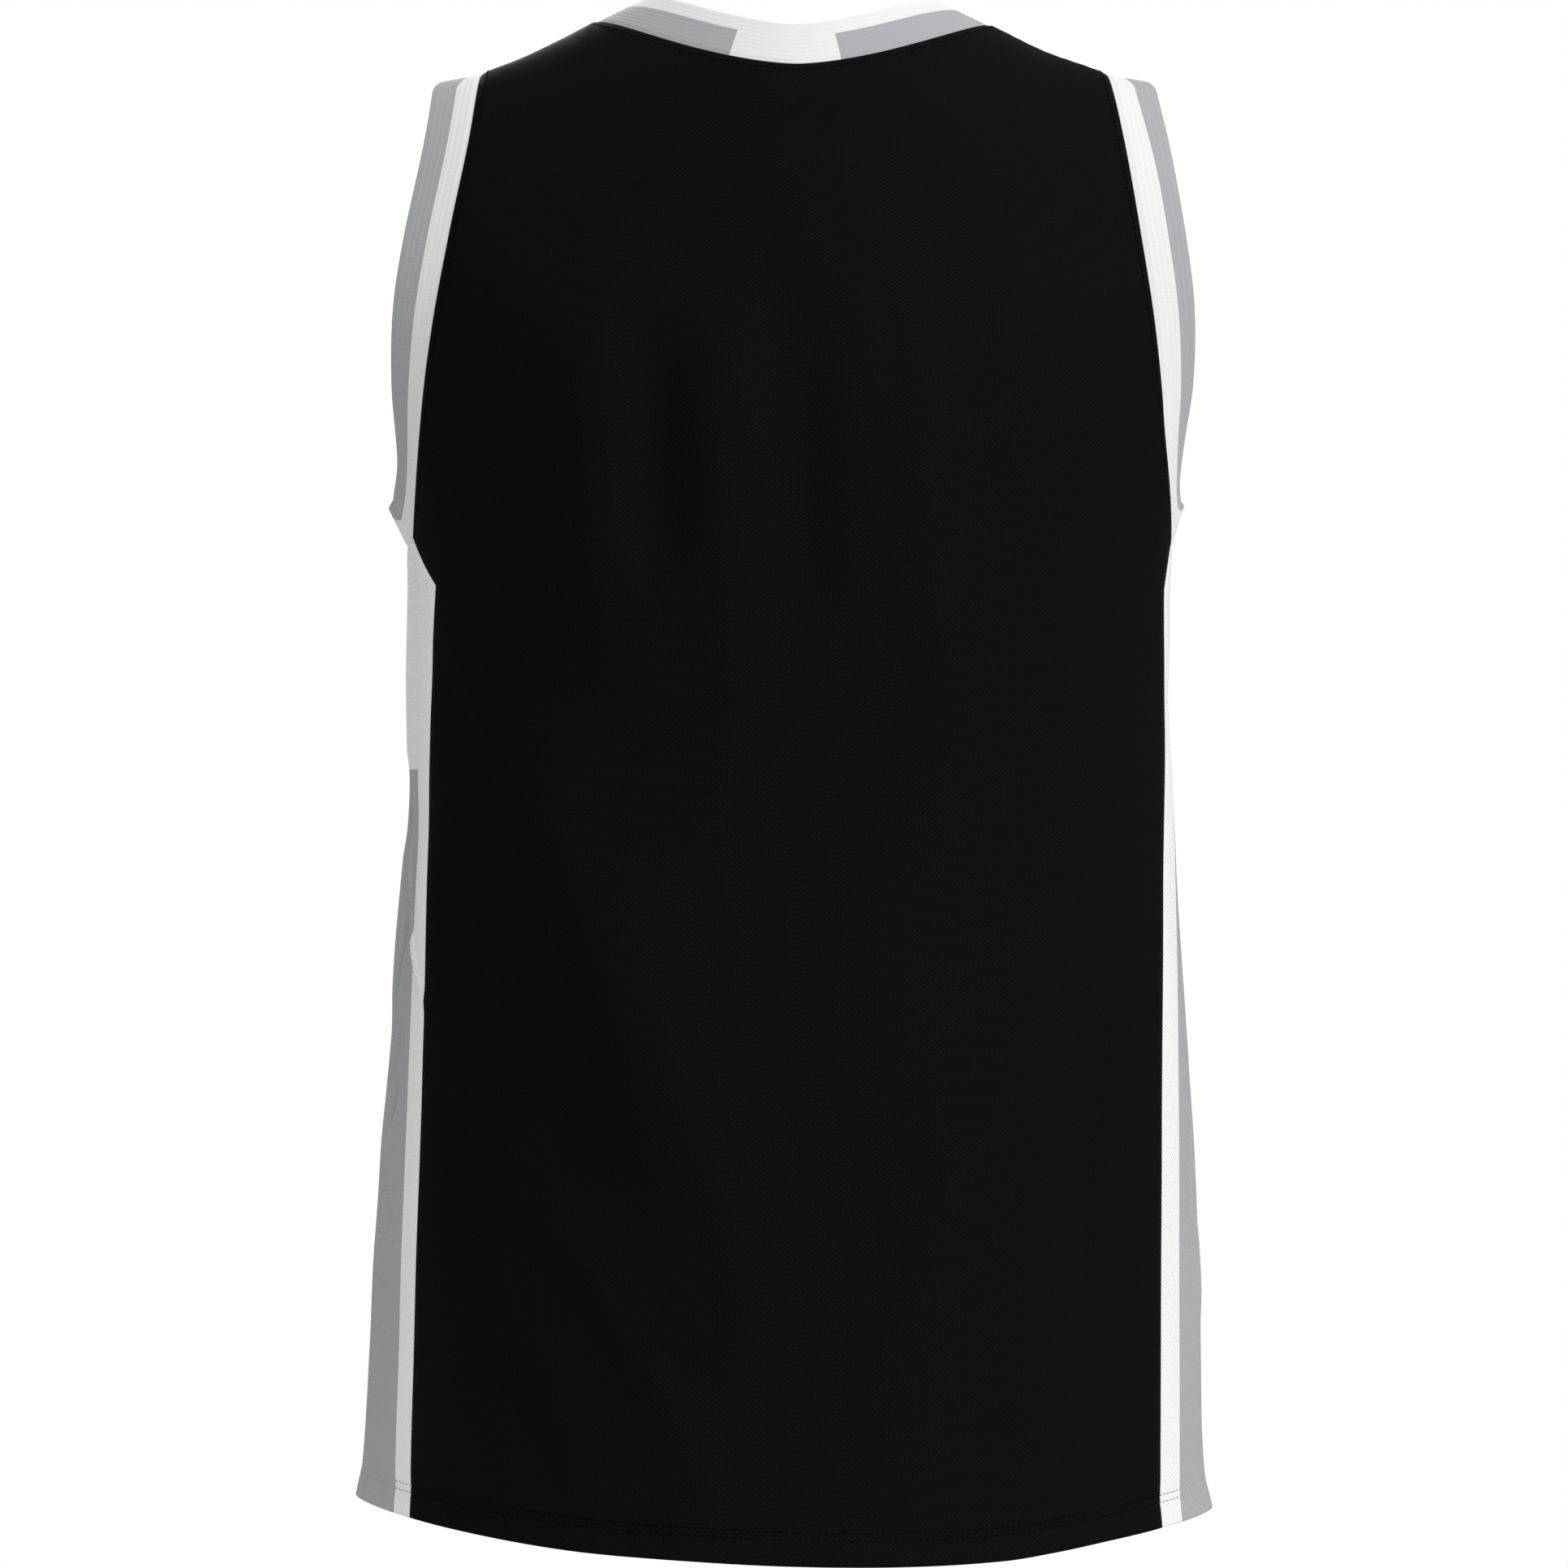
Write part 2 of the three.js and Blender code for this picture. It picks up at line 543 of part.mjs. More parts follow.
// The neck rib, from the wearer's right shoulder round the back and then the front.
function neckRib(back, front) {
  const behind = neckLine(back);
  const ahead = neckLine(front).reverse();
  const ends = [onShoulder(behind[0]), onShoulder(behind.at(-1))];
  const seam = [ends[0], ...behind.slice(1, -1), ends[1], ...ahead.slice(1, -1)];
  const backLength = lengthOf([ends[0], ...behind.slice(1, -1), ends[1]]);
  const frontLength = lengthOf([ends[1], ...ahead.slice(1, -1), ends[0]]);
  const shoulder = backLength / (backLength + frontLength);
  return rib(seam, neckRibWidth, (share) => {
    const behindShare = share < shoulder ? Math.abs(1 - (2 * share) / shoulder) : 1;
    const aheadShare = share < shoulder ? 0 : (share - shoulder) / (1 - shoulder);
    const at = behindShare * neckShoulder
      + (1 - neckShoulder) * (1 - Math.abs(1 - 2 * aheadShare));
    const middle = share < shoulder ? shoulder / 2 : (1 + shoulder) / 2;
    const side = (share < middle) === (share < shoulder) ? -1 : 1;
    return new THREE.Vector3(
      -side * read(neckRibLean, "inward", "at", at),
      read(neckRibLean, "back", "at", at),
      read(neckRibLean, "up", "at", at),
    );
  });
}

function lengthOf(line) {
  return line.slice(1).reduce((sum, v, i) => sum + v.point.distanceTo(line[i].point), 0);
}

const blackKnit = new THREE.MeshStandardMaterial({ color: 0x151515, roughness: 0.8 });
const whiteKnit = new THREE.MeshStandardMaterial({ color: 0xe8e8e8, roughness: 0.8 });
const ribKnit = new THREE.MeshStandardMaterial({ color: 0xd4d5d6, roughness: 0.9 });

const back = panel("back");
const front = panel("front");
const leftPiece = sideGrid(1);
const rightPiece = sideGrid(-1);

const jersey = new THREE.Group();
function add(name, material, ...grids) {
  const mesh = new THREE.Mesh(facingOut(wall(grids)), material);
  mesh.name = name;
  jersey.add(mesh);
}

add("back_panel", blackKnit, back.main, ...back.straps);
add("front_panel", blackKnit, front.main, ...front.straps);
add("side_panel_left", whiteKnit, leftPiece);
add("side_panel_right", whiteKnit, rightPiece);
add("armhole_rib_left", ribKnit, armholeRib(1, back, front, leftPiece));
add("armhole_rib_right", ribKnit, armholeRib(-1, back, front, rightPiece));
add("neck_rib", ribKnit, neckRib(back, front));

export default jersey;
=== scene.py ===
# A men's sleeveless basketball jersey in its worn shape, hollow, seen from behind.
# The front faces -Y and the wearer's left is +X. Sizes are in millimetres until a mesh is made.
import json
import math
import bpy
import numpy as np
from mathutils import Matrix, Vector
from mathutils.bvhtree import BVHTree
from mathutils.kdtree import KDTree

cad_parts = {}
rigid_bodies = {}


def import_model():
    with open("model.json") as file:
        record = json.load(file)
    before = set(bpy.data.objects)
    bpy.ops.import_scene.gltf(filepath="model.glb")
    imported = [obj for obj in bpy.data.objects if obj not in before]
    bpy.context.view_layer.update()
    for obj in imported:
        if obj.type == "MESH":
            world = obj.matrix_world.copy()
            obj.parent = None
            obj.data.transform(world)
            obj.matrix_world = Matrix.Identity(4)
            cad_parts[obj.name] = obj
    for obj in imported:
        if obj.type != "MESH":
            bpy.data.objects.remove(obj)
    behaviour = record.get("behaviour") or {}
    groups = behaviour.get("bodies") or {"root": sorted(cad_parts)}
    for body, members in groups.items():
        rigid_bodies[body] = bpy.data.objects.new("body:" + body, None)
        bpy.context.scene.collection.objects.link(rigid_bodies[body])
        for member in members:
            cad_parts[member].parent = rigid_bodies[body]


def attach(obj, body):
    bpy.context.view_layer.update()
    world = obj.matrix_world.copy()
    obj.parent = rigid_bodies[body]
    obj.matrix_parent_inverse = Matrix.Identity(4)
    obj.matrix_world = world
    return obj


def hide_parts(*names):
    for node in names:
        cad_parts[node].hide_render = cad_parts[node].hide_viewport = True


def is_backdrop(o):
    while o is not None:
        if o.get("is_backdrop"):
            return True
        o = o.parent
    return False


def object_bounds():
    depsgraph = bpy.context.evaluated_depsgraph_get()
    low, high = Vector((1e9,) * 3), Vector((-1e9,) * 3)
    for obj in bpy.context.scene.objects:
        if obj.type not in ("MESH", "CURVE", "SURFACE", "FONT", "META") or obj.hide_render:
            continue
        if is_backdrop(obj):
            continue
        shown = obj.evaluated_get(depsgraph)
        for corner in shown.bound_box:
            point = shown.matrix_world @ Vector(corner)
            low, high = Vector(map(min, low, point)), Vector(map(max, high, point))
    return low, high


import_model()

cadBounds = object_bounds()
mm = 0.001

# Camera: square on to the back, at the height of the middle of the jersey
camera = {"side": 2.1, "back": 1800, "height": -392.8, "focalPixels": 4286, "imagePixels": 1932}


def addObject(name, data):
    obj = bpy.data.objects.new(name, data)
    bpy.context.scene.collection.objects.link(obj)
    return obj


def addCamera():
    data = bpy.data.cameras.new("camera")
    data.sensor_width = 36
    data.lens = 36 * camera["focalPixels"] / camera["imagePixels"]
    data.clip_end = 50
    obj = addObject("camera", data)
    obj.location = Vector((camera["side"], camera["back"], camera["height"])) * mm
    obj.rotation_euler = (math.pi / 2, 0, math.pi)
    bpy.context.scene.camera = obj


addCamera()
bpy.context.scene.view_settings.view_transform = "Standard"


def table(columns, *rows):
    return {name: np.array(column, float) for name, column in zip(columns.split(), zip(*rows))}


# The form of the body: half width, sideways lean, depth behind and in front, and roundness (2 is
# an ellipse, 1 is pointed at the sides), a row for each height
rings = table(
    "z half lean back front round",
    (-766, 221, 2, 150, 134, 1.28),
    (-748, 217.2, 2.3, 147, 132, 1.3),
    (-690, 214.1, 1.9, 145, 130, 1.34),
    (-640, 212, 2, 143, 128, 1.38),
    (-577, 208.4, 0.4, 138, 126, 1.44),
    (-514, 203.9, -0.8, 132, 125, 1.5),
    (-450, 200.6, -0.8, 127, 125, 1.58),
    (-400, 198.2, -1.6, 125, 126, 1.64),
    (-340, 197, 0, 126, 127, 1.7),
    (-270, 197.4, -0.8, 128, 126, 1.78),
    (-213, 206, -2, 129, 123, 1.84),
    (-165, 214, -2.7, 128, 118, 1.88),
    (-117, 219, -3.4, 126, 114, 1.9),
    (-65, 222, -4.2, 126, 112, 1.9),
    (0, 224, -2.4, 126, 112, 1.9),
    (40, 224, -2.2, 126, 112, 1.9),
)

# How far the hem and the shoulders are lifted at each sideways place
lifts = table(
    "x hem shoulder",
    (-222, -0.2, -0.5),
    (-162, 0.2, -0.3),
    (-132, -0.7, -2.5),
    (-104, -1.4, -0.9),
    (0, 2.1, 0),
    (48, 3.6, 0.3),
    (97, 3.8, 1),
    (116, 4.1, -0.6),
    (136, 4.6, -1.2),
    (162, 5.2, -0.1),
    (222, 6.2, 0),
)

# Seams beside the side pieces, in degrees round from the middle of the back or front, and how far
# both side pieces are turned round the body
sideSeams = table(
    "z seam turn",
    (-766, 58.7, 0.5),
    (-742, 60.5, 0.6),
    (-692, 61.5, 0.9),
    (-640, 62.4, 1.5),
    (-570, 64.2, 1.4),
    (-520, 66.4, 1.4),
    (-460, 68.7, 2.1),
    (-403, 70.2, 2.8),
    (-366, 70.6, 4.9),
    (-333, 70.5, 6.3),
    (-293, 70.6, 6.7),
)

# Half width between the armhole seams
armholes = table(
    "z back front",
    (-267, 190.4, 190.4),
    (-213, 187.3, 180.6),
    (-165, 181, 170.4),
    (-117, 173.1, 162.4),
    (-65, 165.2, 159),
    (-20, 160.8, 160.8),
)

# Which way the armhole rib stands, round from the shoulder seam down the back and up the front
armRibLean = table(
    "at left right back up",
    (0, 0.86, 0.9, 0, -0.15),
    (0.05, 0.91, 0.94, -0.15, -0.2),
    (0.1, 0.94, 0.96, -0.24, -0.12),
    (0.22, 0.93, 0.93, -0.33, -0.02),
    (0.32, 0.66, 0.64, -0.6, 0.1),
    (0.4, 0.44, 0.33, -0.74, 0.36),
    (0.45, 0.46, 0.21, -0.56, 0.62),
    (0.5, 0.4, 0.3, -0.2, 0.84),
    (0.55, 0.3, 0.32, 0.3, 0.72),
    (0.6, 0.46, 0.46, 0.6, 0.42),
    (0.68, 0.76, 0.76, 0.5, 0.12),
    (0.78, 0.93, 0.93, 0.33, -0.02),
    (0.9, 0.93, 0.95, 0.22, -0.14),
    (1, 0.86, 0.9, 0, -0.15),
)

# Which way the neck rib stands, from the middle of the back to the middle of the front
neckShoulder = 0.4
neckRibLean = table(
    "at inward back up",
    (0, 0, -0.5, 0.86),
    (0.2, 0.5, -0.36, 0.72),
    (0.34, 0.86, -0.1, 0.5),
    (neckShoulder, 0.9, 0.02, 0.42),
    (0.6, 0.84, 0.22, 0.5),
    (0.8, 0.44, 0.36, 0.82),
    (1, 0, 0.42, 0.9),
)

form = {
    "hemZ": -766, "flareZ": -293, "armholeZ": -267, "capStart": -230, "shoulderSlope": 0.44,
    "seamGap": 0.3, "cadCloth": 1.2, "hemLiftReach": 0.625, "sideRounding": 0.22,
    "neckHalf": 102, "neckDropBack": 36.3, "neckDropFront": 118, "neckRounding": 24,
    "neckCurves": {"back": 1.65, "frontAcross": 0.91, "frontFall": 1.24},
    "armholeSeam": 79.7, "armholeTurn": 3.3, "armholeJoin": 60, "underarmDip": 4,
    "capRun": {"back": 1.6, "front": 1.7}, "neckRibWidth": 26, "armRibWidth": 25,
}

# Folds: from one place to another as seen square on to a face, how far they stand out, the width
# of the band, and how far the fold's path bows sideways
foldColumns = "x1 z1 x2 z2 out width bow"
foldFade = {"facing": 0.15, "turn": 0.4, "beyond": 0.15, "run": 0.45}
backFolds = table(
    foldColumns,
    (178, -300, -22, -700, 6.5, 34, 0),
    (158, -420, 60, -735, -5, 30, 0),
    (120, -560, 36, -760, 4, 26, 0),
    (-168, -262, -92, -500, -5, 26, 0),
    (-176, -300, -60, -640, 5, 32, 0),
    (-156, -490, -150, -740, -4, 20, 0),
    (68, -165, 64, -300, -5, 19, 0),
    (0, -150, -8, -340, -6, 20, 0),
    (34, -150, 28, -350, 2.5, 20, 0),
    (-56, -160, -70, -360, 4, 24, 0),
    (96, -150, 92, -330, 4, 26, 0),
    (-46, -145, -50, -215, -1.6, 9, 1),
    (-86, -140, -92, -280, -2.5, 16, 0),
    (-160, -368, -98, -512, 1.6, 7, 2),
    (-157, -505, -148, -649, -1.8, 6, -2),
    (-108, -700, -100, -722, -3, 16, 0),
    (46, -75, -61, -75, -2.2, 12, 4),
    (80, -98, 74, -106, -1.5, 9, 0),
    (170, -309, 120, -418, 1.4, 6, -3),
    (170, -334, 129, -449, -3, 12, 0),
    (118, -600, 40, -725, 1.8, 10, 3),
    (172, -512, 153, -606, 1.3, 6, 2),
    (153, -606, 131, -666, 1.1, 6, 0),
    (150, -655, 110, -745, -2.2, 12, 0),
    (-172, -236, -117, -418, -2.2, 12, 2),
)
frontFolds = table(
    foldColumns,
    (165, -280, 20, -640, 6, 34, 0),
    (-165, -285, -30, -600, 6, 34, 0),
    (130, -420, 70, -730, -5, 28, 0),
    (-140, -430, -84, -720, -5, 28, 0),
    (60, -170, 30, -360, 4, 24, 0),
    (-52, -180, -24, -380, 4, 24, 0),
    (46, -160, 54, -240, -1.7, 9, 1),
    (-84, -170, -96, -300, -2.4, 15, 0),
    (150, -350, 96, -506, 1.7, 8, -2),
    (-168, -330, -118, -452, -2.6, 12, 0),
    (152, -500, 146, -640, -1.8, 7, 2),
    (-150, -560, -128, -668, 1.4, 7, -2),
    (-104, -606, -36, -722, 1.8, 10, -3),
    (98, -704, 92, -724, -2.8, 16, 0),
    (12, -470, -20, -560, -1.6, 12, 2),
)
leftFolds = table(
    foldColumns,
    (25, -392, 18, -535, -2.2, 9, 0),
    (8, -380, 10, -425, -3, 10, 0),
    (10, -508, 14, -572, -3.6, 12, 0),
    (-4, -450, -16, -600, 2.5, 16, 0),
    (16, -590, 24, -700, -2.4, 12, 0),
    (4, -400, 21, -446, 1.7, 1.4, 0),
    (18, -420, 43, -504, 2.2, 1.4, 4.5),
    (23, -454, 5, -522, -2.4, 1.6, 3),
    (4, -508, 10, -532, 1.6, 2, 0),
    (15, -518, 24, -533, 1.6, 2.4, 0),
    (24, -531, 17, -545, 1.4, 2.4, 0),
    (17, -542, 12, -572, -1.9, 2.6, 1),
    (-20, -360, -30, -470, -1.4, 5, 1),
    (-28, -520, -12, -610, 1.2, 4, -2),
)
rightFolds = table(
    foldColumns,
    (8, -330, -8, -480, -2.2, 10, 0),
    (-20, -480, 6, -700, 2, 16, 0),
    (-18, -380, -30, -440, 1.1, 3, 1),
    (-26, -430, -12, -492, -1.3, 3, -1),
    (2, -540, 16, -612, -1.2, 4, 0),
    (10, -612, 4, -668, 1, 3.6, 2),
)


def smooth(t):
    t = np.clip(t, 0, 1)
    return t * t * (3 - 2 * t)


def mix(a, b, t):
    return a + (b - a) * t


def read(rows, key, value, at="z"):
    # one column of a table, by a smooth curve through its rows
    x, y = rows[at], rows[key]
    last = len(x) - 1
    here = np.clip(value, x[0], x[last])
    i = np.clip(np.searchsorted(x, here) - 1, 0, last - 1)
    after = np.minimum(np.arange(last + 1) + 1, last)
    before = np.maximum(np.arange(last + 1) - 1, 0)
    slope = (y[after] - y[before]) / (x[after] - x[before])
    step = x[i + 1] - x[i]
    t = (here - x[i]) / step
    leave = (t**3 - 2 * t**2 + t) * step * slope[i]
    arrive = (t**3 - t**2) * step * slope[i + 1]
    return y[i] + (y[i + 1] - y[i]) * smooth(t) + leave + arrive


def unit(v):
    return v / np.maximum(np.linalg.norm(v, axis=-1, keepdims=True), 1e-9)


def shoulderLine(x):
    spread = np.hypot(x, form["neckRounding"]) - math.hypot(form["neckHalf"], form["neckRounding"])
    return -form["shoulderSlope"] * spread


def depthShare(inward, z):
    bend = 1 / read(rings, "round", z) - 0.5
    soft = form["sideRounding"] ** 2
    return inward * ((inward**2 + soft) / (1 + soft)) ** bend


def settled(point):
    share = np.clip((point[..., 2] - form["hemZ"]) / -form["hemZ"], 0, 1)
    rise = read(lifts, "hem", point[..., 0], "x") * smooth(1 - share / form["hemLiftReach"])
    point[..., 2] += rise + read(lifts, "shoulder", point[..., 0], "x") * share
    return point


def facePoint(face, x, level):
    # level is 0 at the hem, 1 where the face starts to lean in and 2 on the shoulder line
    start = form["capStart"]
    lean = np.clip(level - 1, 0, 1) * math.pi / 2
    low = mix(form["hemZ"], start, np.minimum(level, 1))
    z = low + (shoulderLine(x) - start) * np.sin(lean)
    closing = np.maximum(np.cos(lean), 0) ** (2 / form["capRun"][face])
    across = np.clip(x / read(rings, "half", z), -1, 1)
    depth = read(rings, face, z) * depthShare(np.sqrt(1 - across**2), z) * closing
    sign = 1 if face == "back" else -1
    y = sign * (depth + form["seamGap"] / 2)
    return settled(np.stack([x + read(rings, "lean", z), y, z], -1))


def levelOf(x, z):
    start = form["capStart"]
    share = np.clip((z - start) / (shoulderLine(x) - start), 0, 1)
    below = (z - form["hemZ"]) / (start - form["hemZ"])
    return np.where(z <= start, below, 1 + np.arcsin(share) / (math.pi / 2))


def ringPoint(turn, z):
    angle = np.radians(turn)
    behind = np.cos(angle) > 0
    depth = np.where(behind, read(rings, "back", z), read(rings, "front", z))
    y = depth * depthShare(np.abs(np.cos(angle)), z) + form["seamGap"] / 2
    x = read(rings, "half", z) * np.sin(angle) + read(rings, "lean", z)
    return settled(np.stack([x, np.where(behind, y, -y), z + 0 * x], -1))


def arcTable(face):
    # arc lengths across and up a face, which its knit follows
    x, level = np.linspace(-232, 232, 117), np.linspace(0, 2, 161)
    point = facePoint(face, x[None, :], level[:, None])
    across = np.cumsum(np.linalg.norm(np.diff(point, axis=1, prepend=point[:, :1]), axis=-1), 1)
    up = np.cumsum(np.linalg.norm(np.diff(point, axis=0, prepend=point[:1]), axis=-1), 0)
    return x, level, across - across[:, len(x) // 2, None], up


def flatPlace(arcs, x, level):
    xs, levels, across, up = arcs
    a = np.clip((x - xs[0]) / (xs[1] - xs[0]), 0, len(xs) - 1.001)
    b = np.clip((level - levels[0]) / (levels[1] - levels[0]), 0, len(levels) - 1.001)
    i, j = b.astype(int), a.astype(int)
    s, t = a - j, b - i

    def between(values):
        return mix(mix(values[i, j], values[i, j + 1], s),
                   mix(values[i + 1, j], values[i + 1, j + 1], s), t)
    return np.stack([between(across), between(up)], -1)


def normalOf(surface, a, b, stepA, stepB, outward):
    alongA = surface(a + stepA, b) - surface(a - stepA, b)
    alongB = surface(a, b + stepB) - surface(a, b - stepB)
    normal = unit(np.cross(alongA, alongB))
    return np.where((normal @ outward)[..., None] < 0, -normal, normal)


def foldHeight(point, normal):
    # how far all the folds together push a point out along its normal
    total = np.zeros(point.shape[:-1])
    x, y, z = np.moveaxis(point, -1, 0)
    for folds, facing, place in ((backFolds, normal[..., 1], x), (frontFolds, -normal[..., 1], x),
                                 (leftFolds, normal[..., 0], y), (rightFolds, -normal[..., 0], y)):
        seen = smooth((facing - foldFade["facing"]) / foldFade["turn"])
        for x1, z1, x2, z2, out, width, bow in zip(*folds.values()):
            dx, dz = x2 - x1, z2 - z1
            length = math.hypot(dx, dz)
            along = ((place - x1) * dx + (z - z1) * dz) / length**2
            beside = ((place - x1) * dz - (z - z1) * dx) / length
            beside -= bow * np.sin(np.clip(along, 0, 1) * math.pi)
            ends = [smooth((end + foldFade["beyond"]) / foldFade["run"]) for end in (along, 1 - along)]
            total += out * seen * ends[0] * ends[1] * np.exp(-((beside / width) ** 2))
    return total


def narrowing(z):
    # 0 where the side pieces start to narrow in straight lines, 1 at the bottom of the armholes
    return np.clip((z - form["flareZ"]) / (form["armholeZ"] - form["flareZ"]), 0, 1)


def seamTurn(side, face, z):
    low = np.minimum(z, form["flareZ"])
    seam = mix(read(sideSeams, "seam", low), form["armholeSeam"], narrowing(z))
    turn = mix(read(sideSeams, "turn", low), form["armholeTurn"], narrowing(z))
    return side * (seam if face == "back" else 180 - seam) - turn


def seamX(side, face, z):
    turn = np.radians(seamTurn(side, face, z))
    inset = form["seamGap"] / 2 * np.maximum(np.abs(np.cos(turn)), 0.35)
    return read(rings, "half", z) * np.sin(turn) - side * inset


def armholeEdge(side, face, share):
    # the edge of a panel's upper part, as (sideways place, level)
    corner = seamX(side, face, form["armholeZ"])
    level = mix(levelOf(corner, form["armholeZ"]), 2, share)
    x = corner + 0 * level
    for _ in range(6):
        z = facePoint(face, x, level)[..., 2]
        straight = read(armholes, face, z)
        join = smooth((z - form["armholeZ"]) / form["armholeJoin"])
        x = mix(corner + side * (straight - armholes[face][0]), side * straight, join)
    return np.stack([x, level])


def neckEdge(face, share):
    out = np.abs(share)
    turn = out * math.pi / 2
    curves = form["neckCurves"]
    if face == "back":
        x = form["neckHalf"] * out
        fall = form["neckDropBack"] * (1 - out ** curves["back"])
    else:
        x = form["neckHalf"] * np.sin(turn) ** curves["frontAcross"]
        fall = form["neckDropFront"] * np.maximum(np.cos(turn), 0) ** curves["frontFall"]
    return np.stack([np.sign(share) * x, levelOf(x, -fall)])


def stretched(across, up, bottom, top, left, right):
    # a patch between four edges; across is a row of shares and up is a column of them
    s, v = across[None, :], up[:, None]
    foot, head = bottom(s), top(s)
    patch = mix(foot, head, v) + mix(left(v), right(v), s)
    patch -= mix(mix(foot[..., :1], foot[..., -1:], s), mix(head[..., :1], head[..., -1:], s), v)
    patch[1] = np.minimum(patch[1], 2)
    return patch


def gridQuads(number):
    corners = number[:-1, :-1], number[:-1, 1:], number[1:, 1:], number[1:, :-1]
    return np.stack(corners, -1).reshape(-1, 4)


def tubeQuads(grid, closed=True):
    # quads round a tube of which each row is one section, and the numbers of its points
    stations, columns = grid.shape[:2]
    number = np.arange(stations * columns).reshape(stations, columns)
    number = np.concatenate([number, number[:, :1]], axis=1)
    return gridQuads(np.concatenate([number, number[:1]]) if closed else number), number


class Patches:
    # points of one piece of cloth, gathered from grids that may share rows
    def __init__(self):
        self.point, self.normal, self.flat, self.quads = [], [], [], []
        self.count = 0

    def add(self, point, normal, flat):
        rows, columns = point.shape[:2]
        number = np.arange(rows * columns).reshape(rows, columns) + self.count
        self.point.append(point.reshape(-1, 3))
        self.normal.append(normal.reshape(-1, 3))
        self.flat.append(flat.reshape(-1, 2))
        self.count += rows * columns
        return number

    def join(self, number):
        self.quads.append(gridQuads(number))

    def done(self):
        point, normal = np.concatenate(self.point), np.concatenate(self.normal)
        quads = np.concatenate(self.quads)
        a, b, d = point[quads[:, 0]], point[quads[:, 1]], point[quads[:, 3]]
        if (np.cross(b - a, d - a) * normal[quads[:, 0]]).sum() < 0:
            quads = quads[:, ::-1]
        return point, normal, np.concatenate(self.flat), quads


panelCuts = {
    "neckColumns": 46,
    "strapColumns": 20,
    "sideColumns": 140,
    "hemRows": (0, 1.2, 3.6, 6.5, 9.4, 11.2, 12, 12.8, 13.8, 14.8, 15.6, 16.4, 17.3, 18.2, 20),
    "bodyRows": 170,
    "flareRows": 9,
    "back": {"split": 1.0, "yoke": 88, "strap": 0},
    "front": {"split": 0.52, "yoke": 46, "strap": 44},
    "strapStart": 0.46,
}


def bodyHeights():
    low = form["hemZ"] + np.array(panelCuts["hemRows"])
    middle = np.linspace(low[-1], form["flareZ"], panelCuts["bodyRows"])[1:]
    high = np.linspace(form["flareZ"], form["armholeZ"], panelCuts["flareRows"])[1:]
    return np.concatenate([low, middle, high])


def shares(count):
    return np.linspace(0, 1, count + 1)


def buildPanel(face):
    cut, strapColumns = panelCuts[face], panelCuts["strapColumns"]
    columns = panelCuts["neckColumns"] + strapColumns
    across = shares(2 * columns)
    outward = np.array([0, 1 if face == "back" else -1, 0.4])
    arcs = arcTable(face)

    def surface(x, level):
        return facePoint(face, x, level)

    def place(x, level):
        normal = normalOf(surface, x, np.minimum(level, 1.998), 0.5, 0.001, outward)
        return surface(x, level), normal, flatPlace(arcs, x, level)

    def arm(side, v):
        return armholeEdge(side, face, v)

    heights = bodyHeights()[:, None]
    x = mix(seamX(-1, face, heights), seamX(1, face, heights), across[None, :])
    body = place(x, levelOf(x, heights + 0 * x))
    split, half = cut["split"], panelCuts["neckColumns"] / columns
    armSplit = panelCuts["strapStart"] if split < 1 else 1
    ends = [arm(side, np.array(armSplit))[:, None, None] for side in (-1, 1)]

    def yokeTop(s):
        out = 2 * s - 1
        middle = neckEdge(face, np.clip(out / half, -1, 1) * split)
        share = np.clip((np.abs(out) - half) / (1 - half), 0, 1)
        return mix(middle, np.where(out < 0, *ends), share)

    def line(a, b):
        return lambda s: mix(a[:, None, None], b[:, None, None], s)

    zero, one = np.array(0.0), np.array(1.0)
    yoke = stretched(
        across, shares(cut["yoke"])[1:],
        line(arm(-1, zero), arm(1, zero)), yokeTop,
        lambda v: arm(-1, v * armSplit), lambda v: arm(1, v * armSplit),
    )
    cloth = Patches()
    main = cloth.add(*(np.concatenate(pair) for pair in zip(body, place(*yoke))))
    cloth.join(main)
    upper = len(heights) - 1
    lines = {
        "hem": main[0],
        "arm-1": main[upper:, 0], "arm1": main[upper:, -1],
        "side-1": main[:upper + 1, 0], "side1": main[:upper + 1, -1],
        "shoulder-1": main[-1][:strapColumns + 1], "shoulder1": main[-1][-strapColumns - 1:],
    }
    neck = main[-1][strapColumns:-strapColumns]
    if split < 1:
        for side in (-1, 1):
            def neckSide(v, side=side):
                return neckEdge(face, side * mix(split, 1, v))
            def armSide(v, side=side):
                return arm(side, mix(armSplit, 1, v))
            left, right = (armSide, neckSide) if side < 0 else (neckSide, armSide)
            strap = stretched(
                shares(strapColumns), shares(cut["strap"])[1:],
                line(left(zero), right(zero)), line(left(one), right(one)), left, right,
            )
            rows = cloth.add(*place(*strap))
            cloth.join(np.concatenate([lines[f"shoulder{side}"][None], rows]))
            outer, inner = rows[:, 0 if side < 0 else -1], rows[:, -1 if side < 0 else 0]
            lines[f"arm{side}"] = np.concatenate([lines[f"arm{side}"], outer])
            neck = np.concatenate([inner[::-1], neck] if side < 0 else [neck, inner])
            lines[f"shoulder{side}"] = rows[-1]
    lines["neck"] = neck
    return *cloth.done(), lines


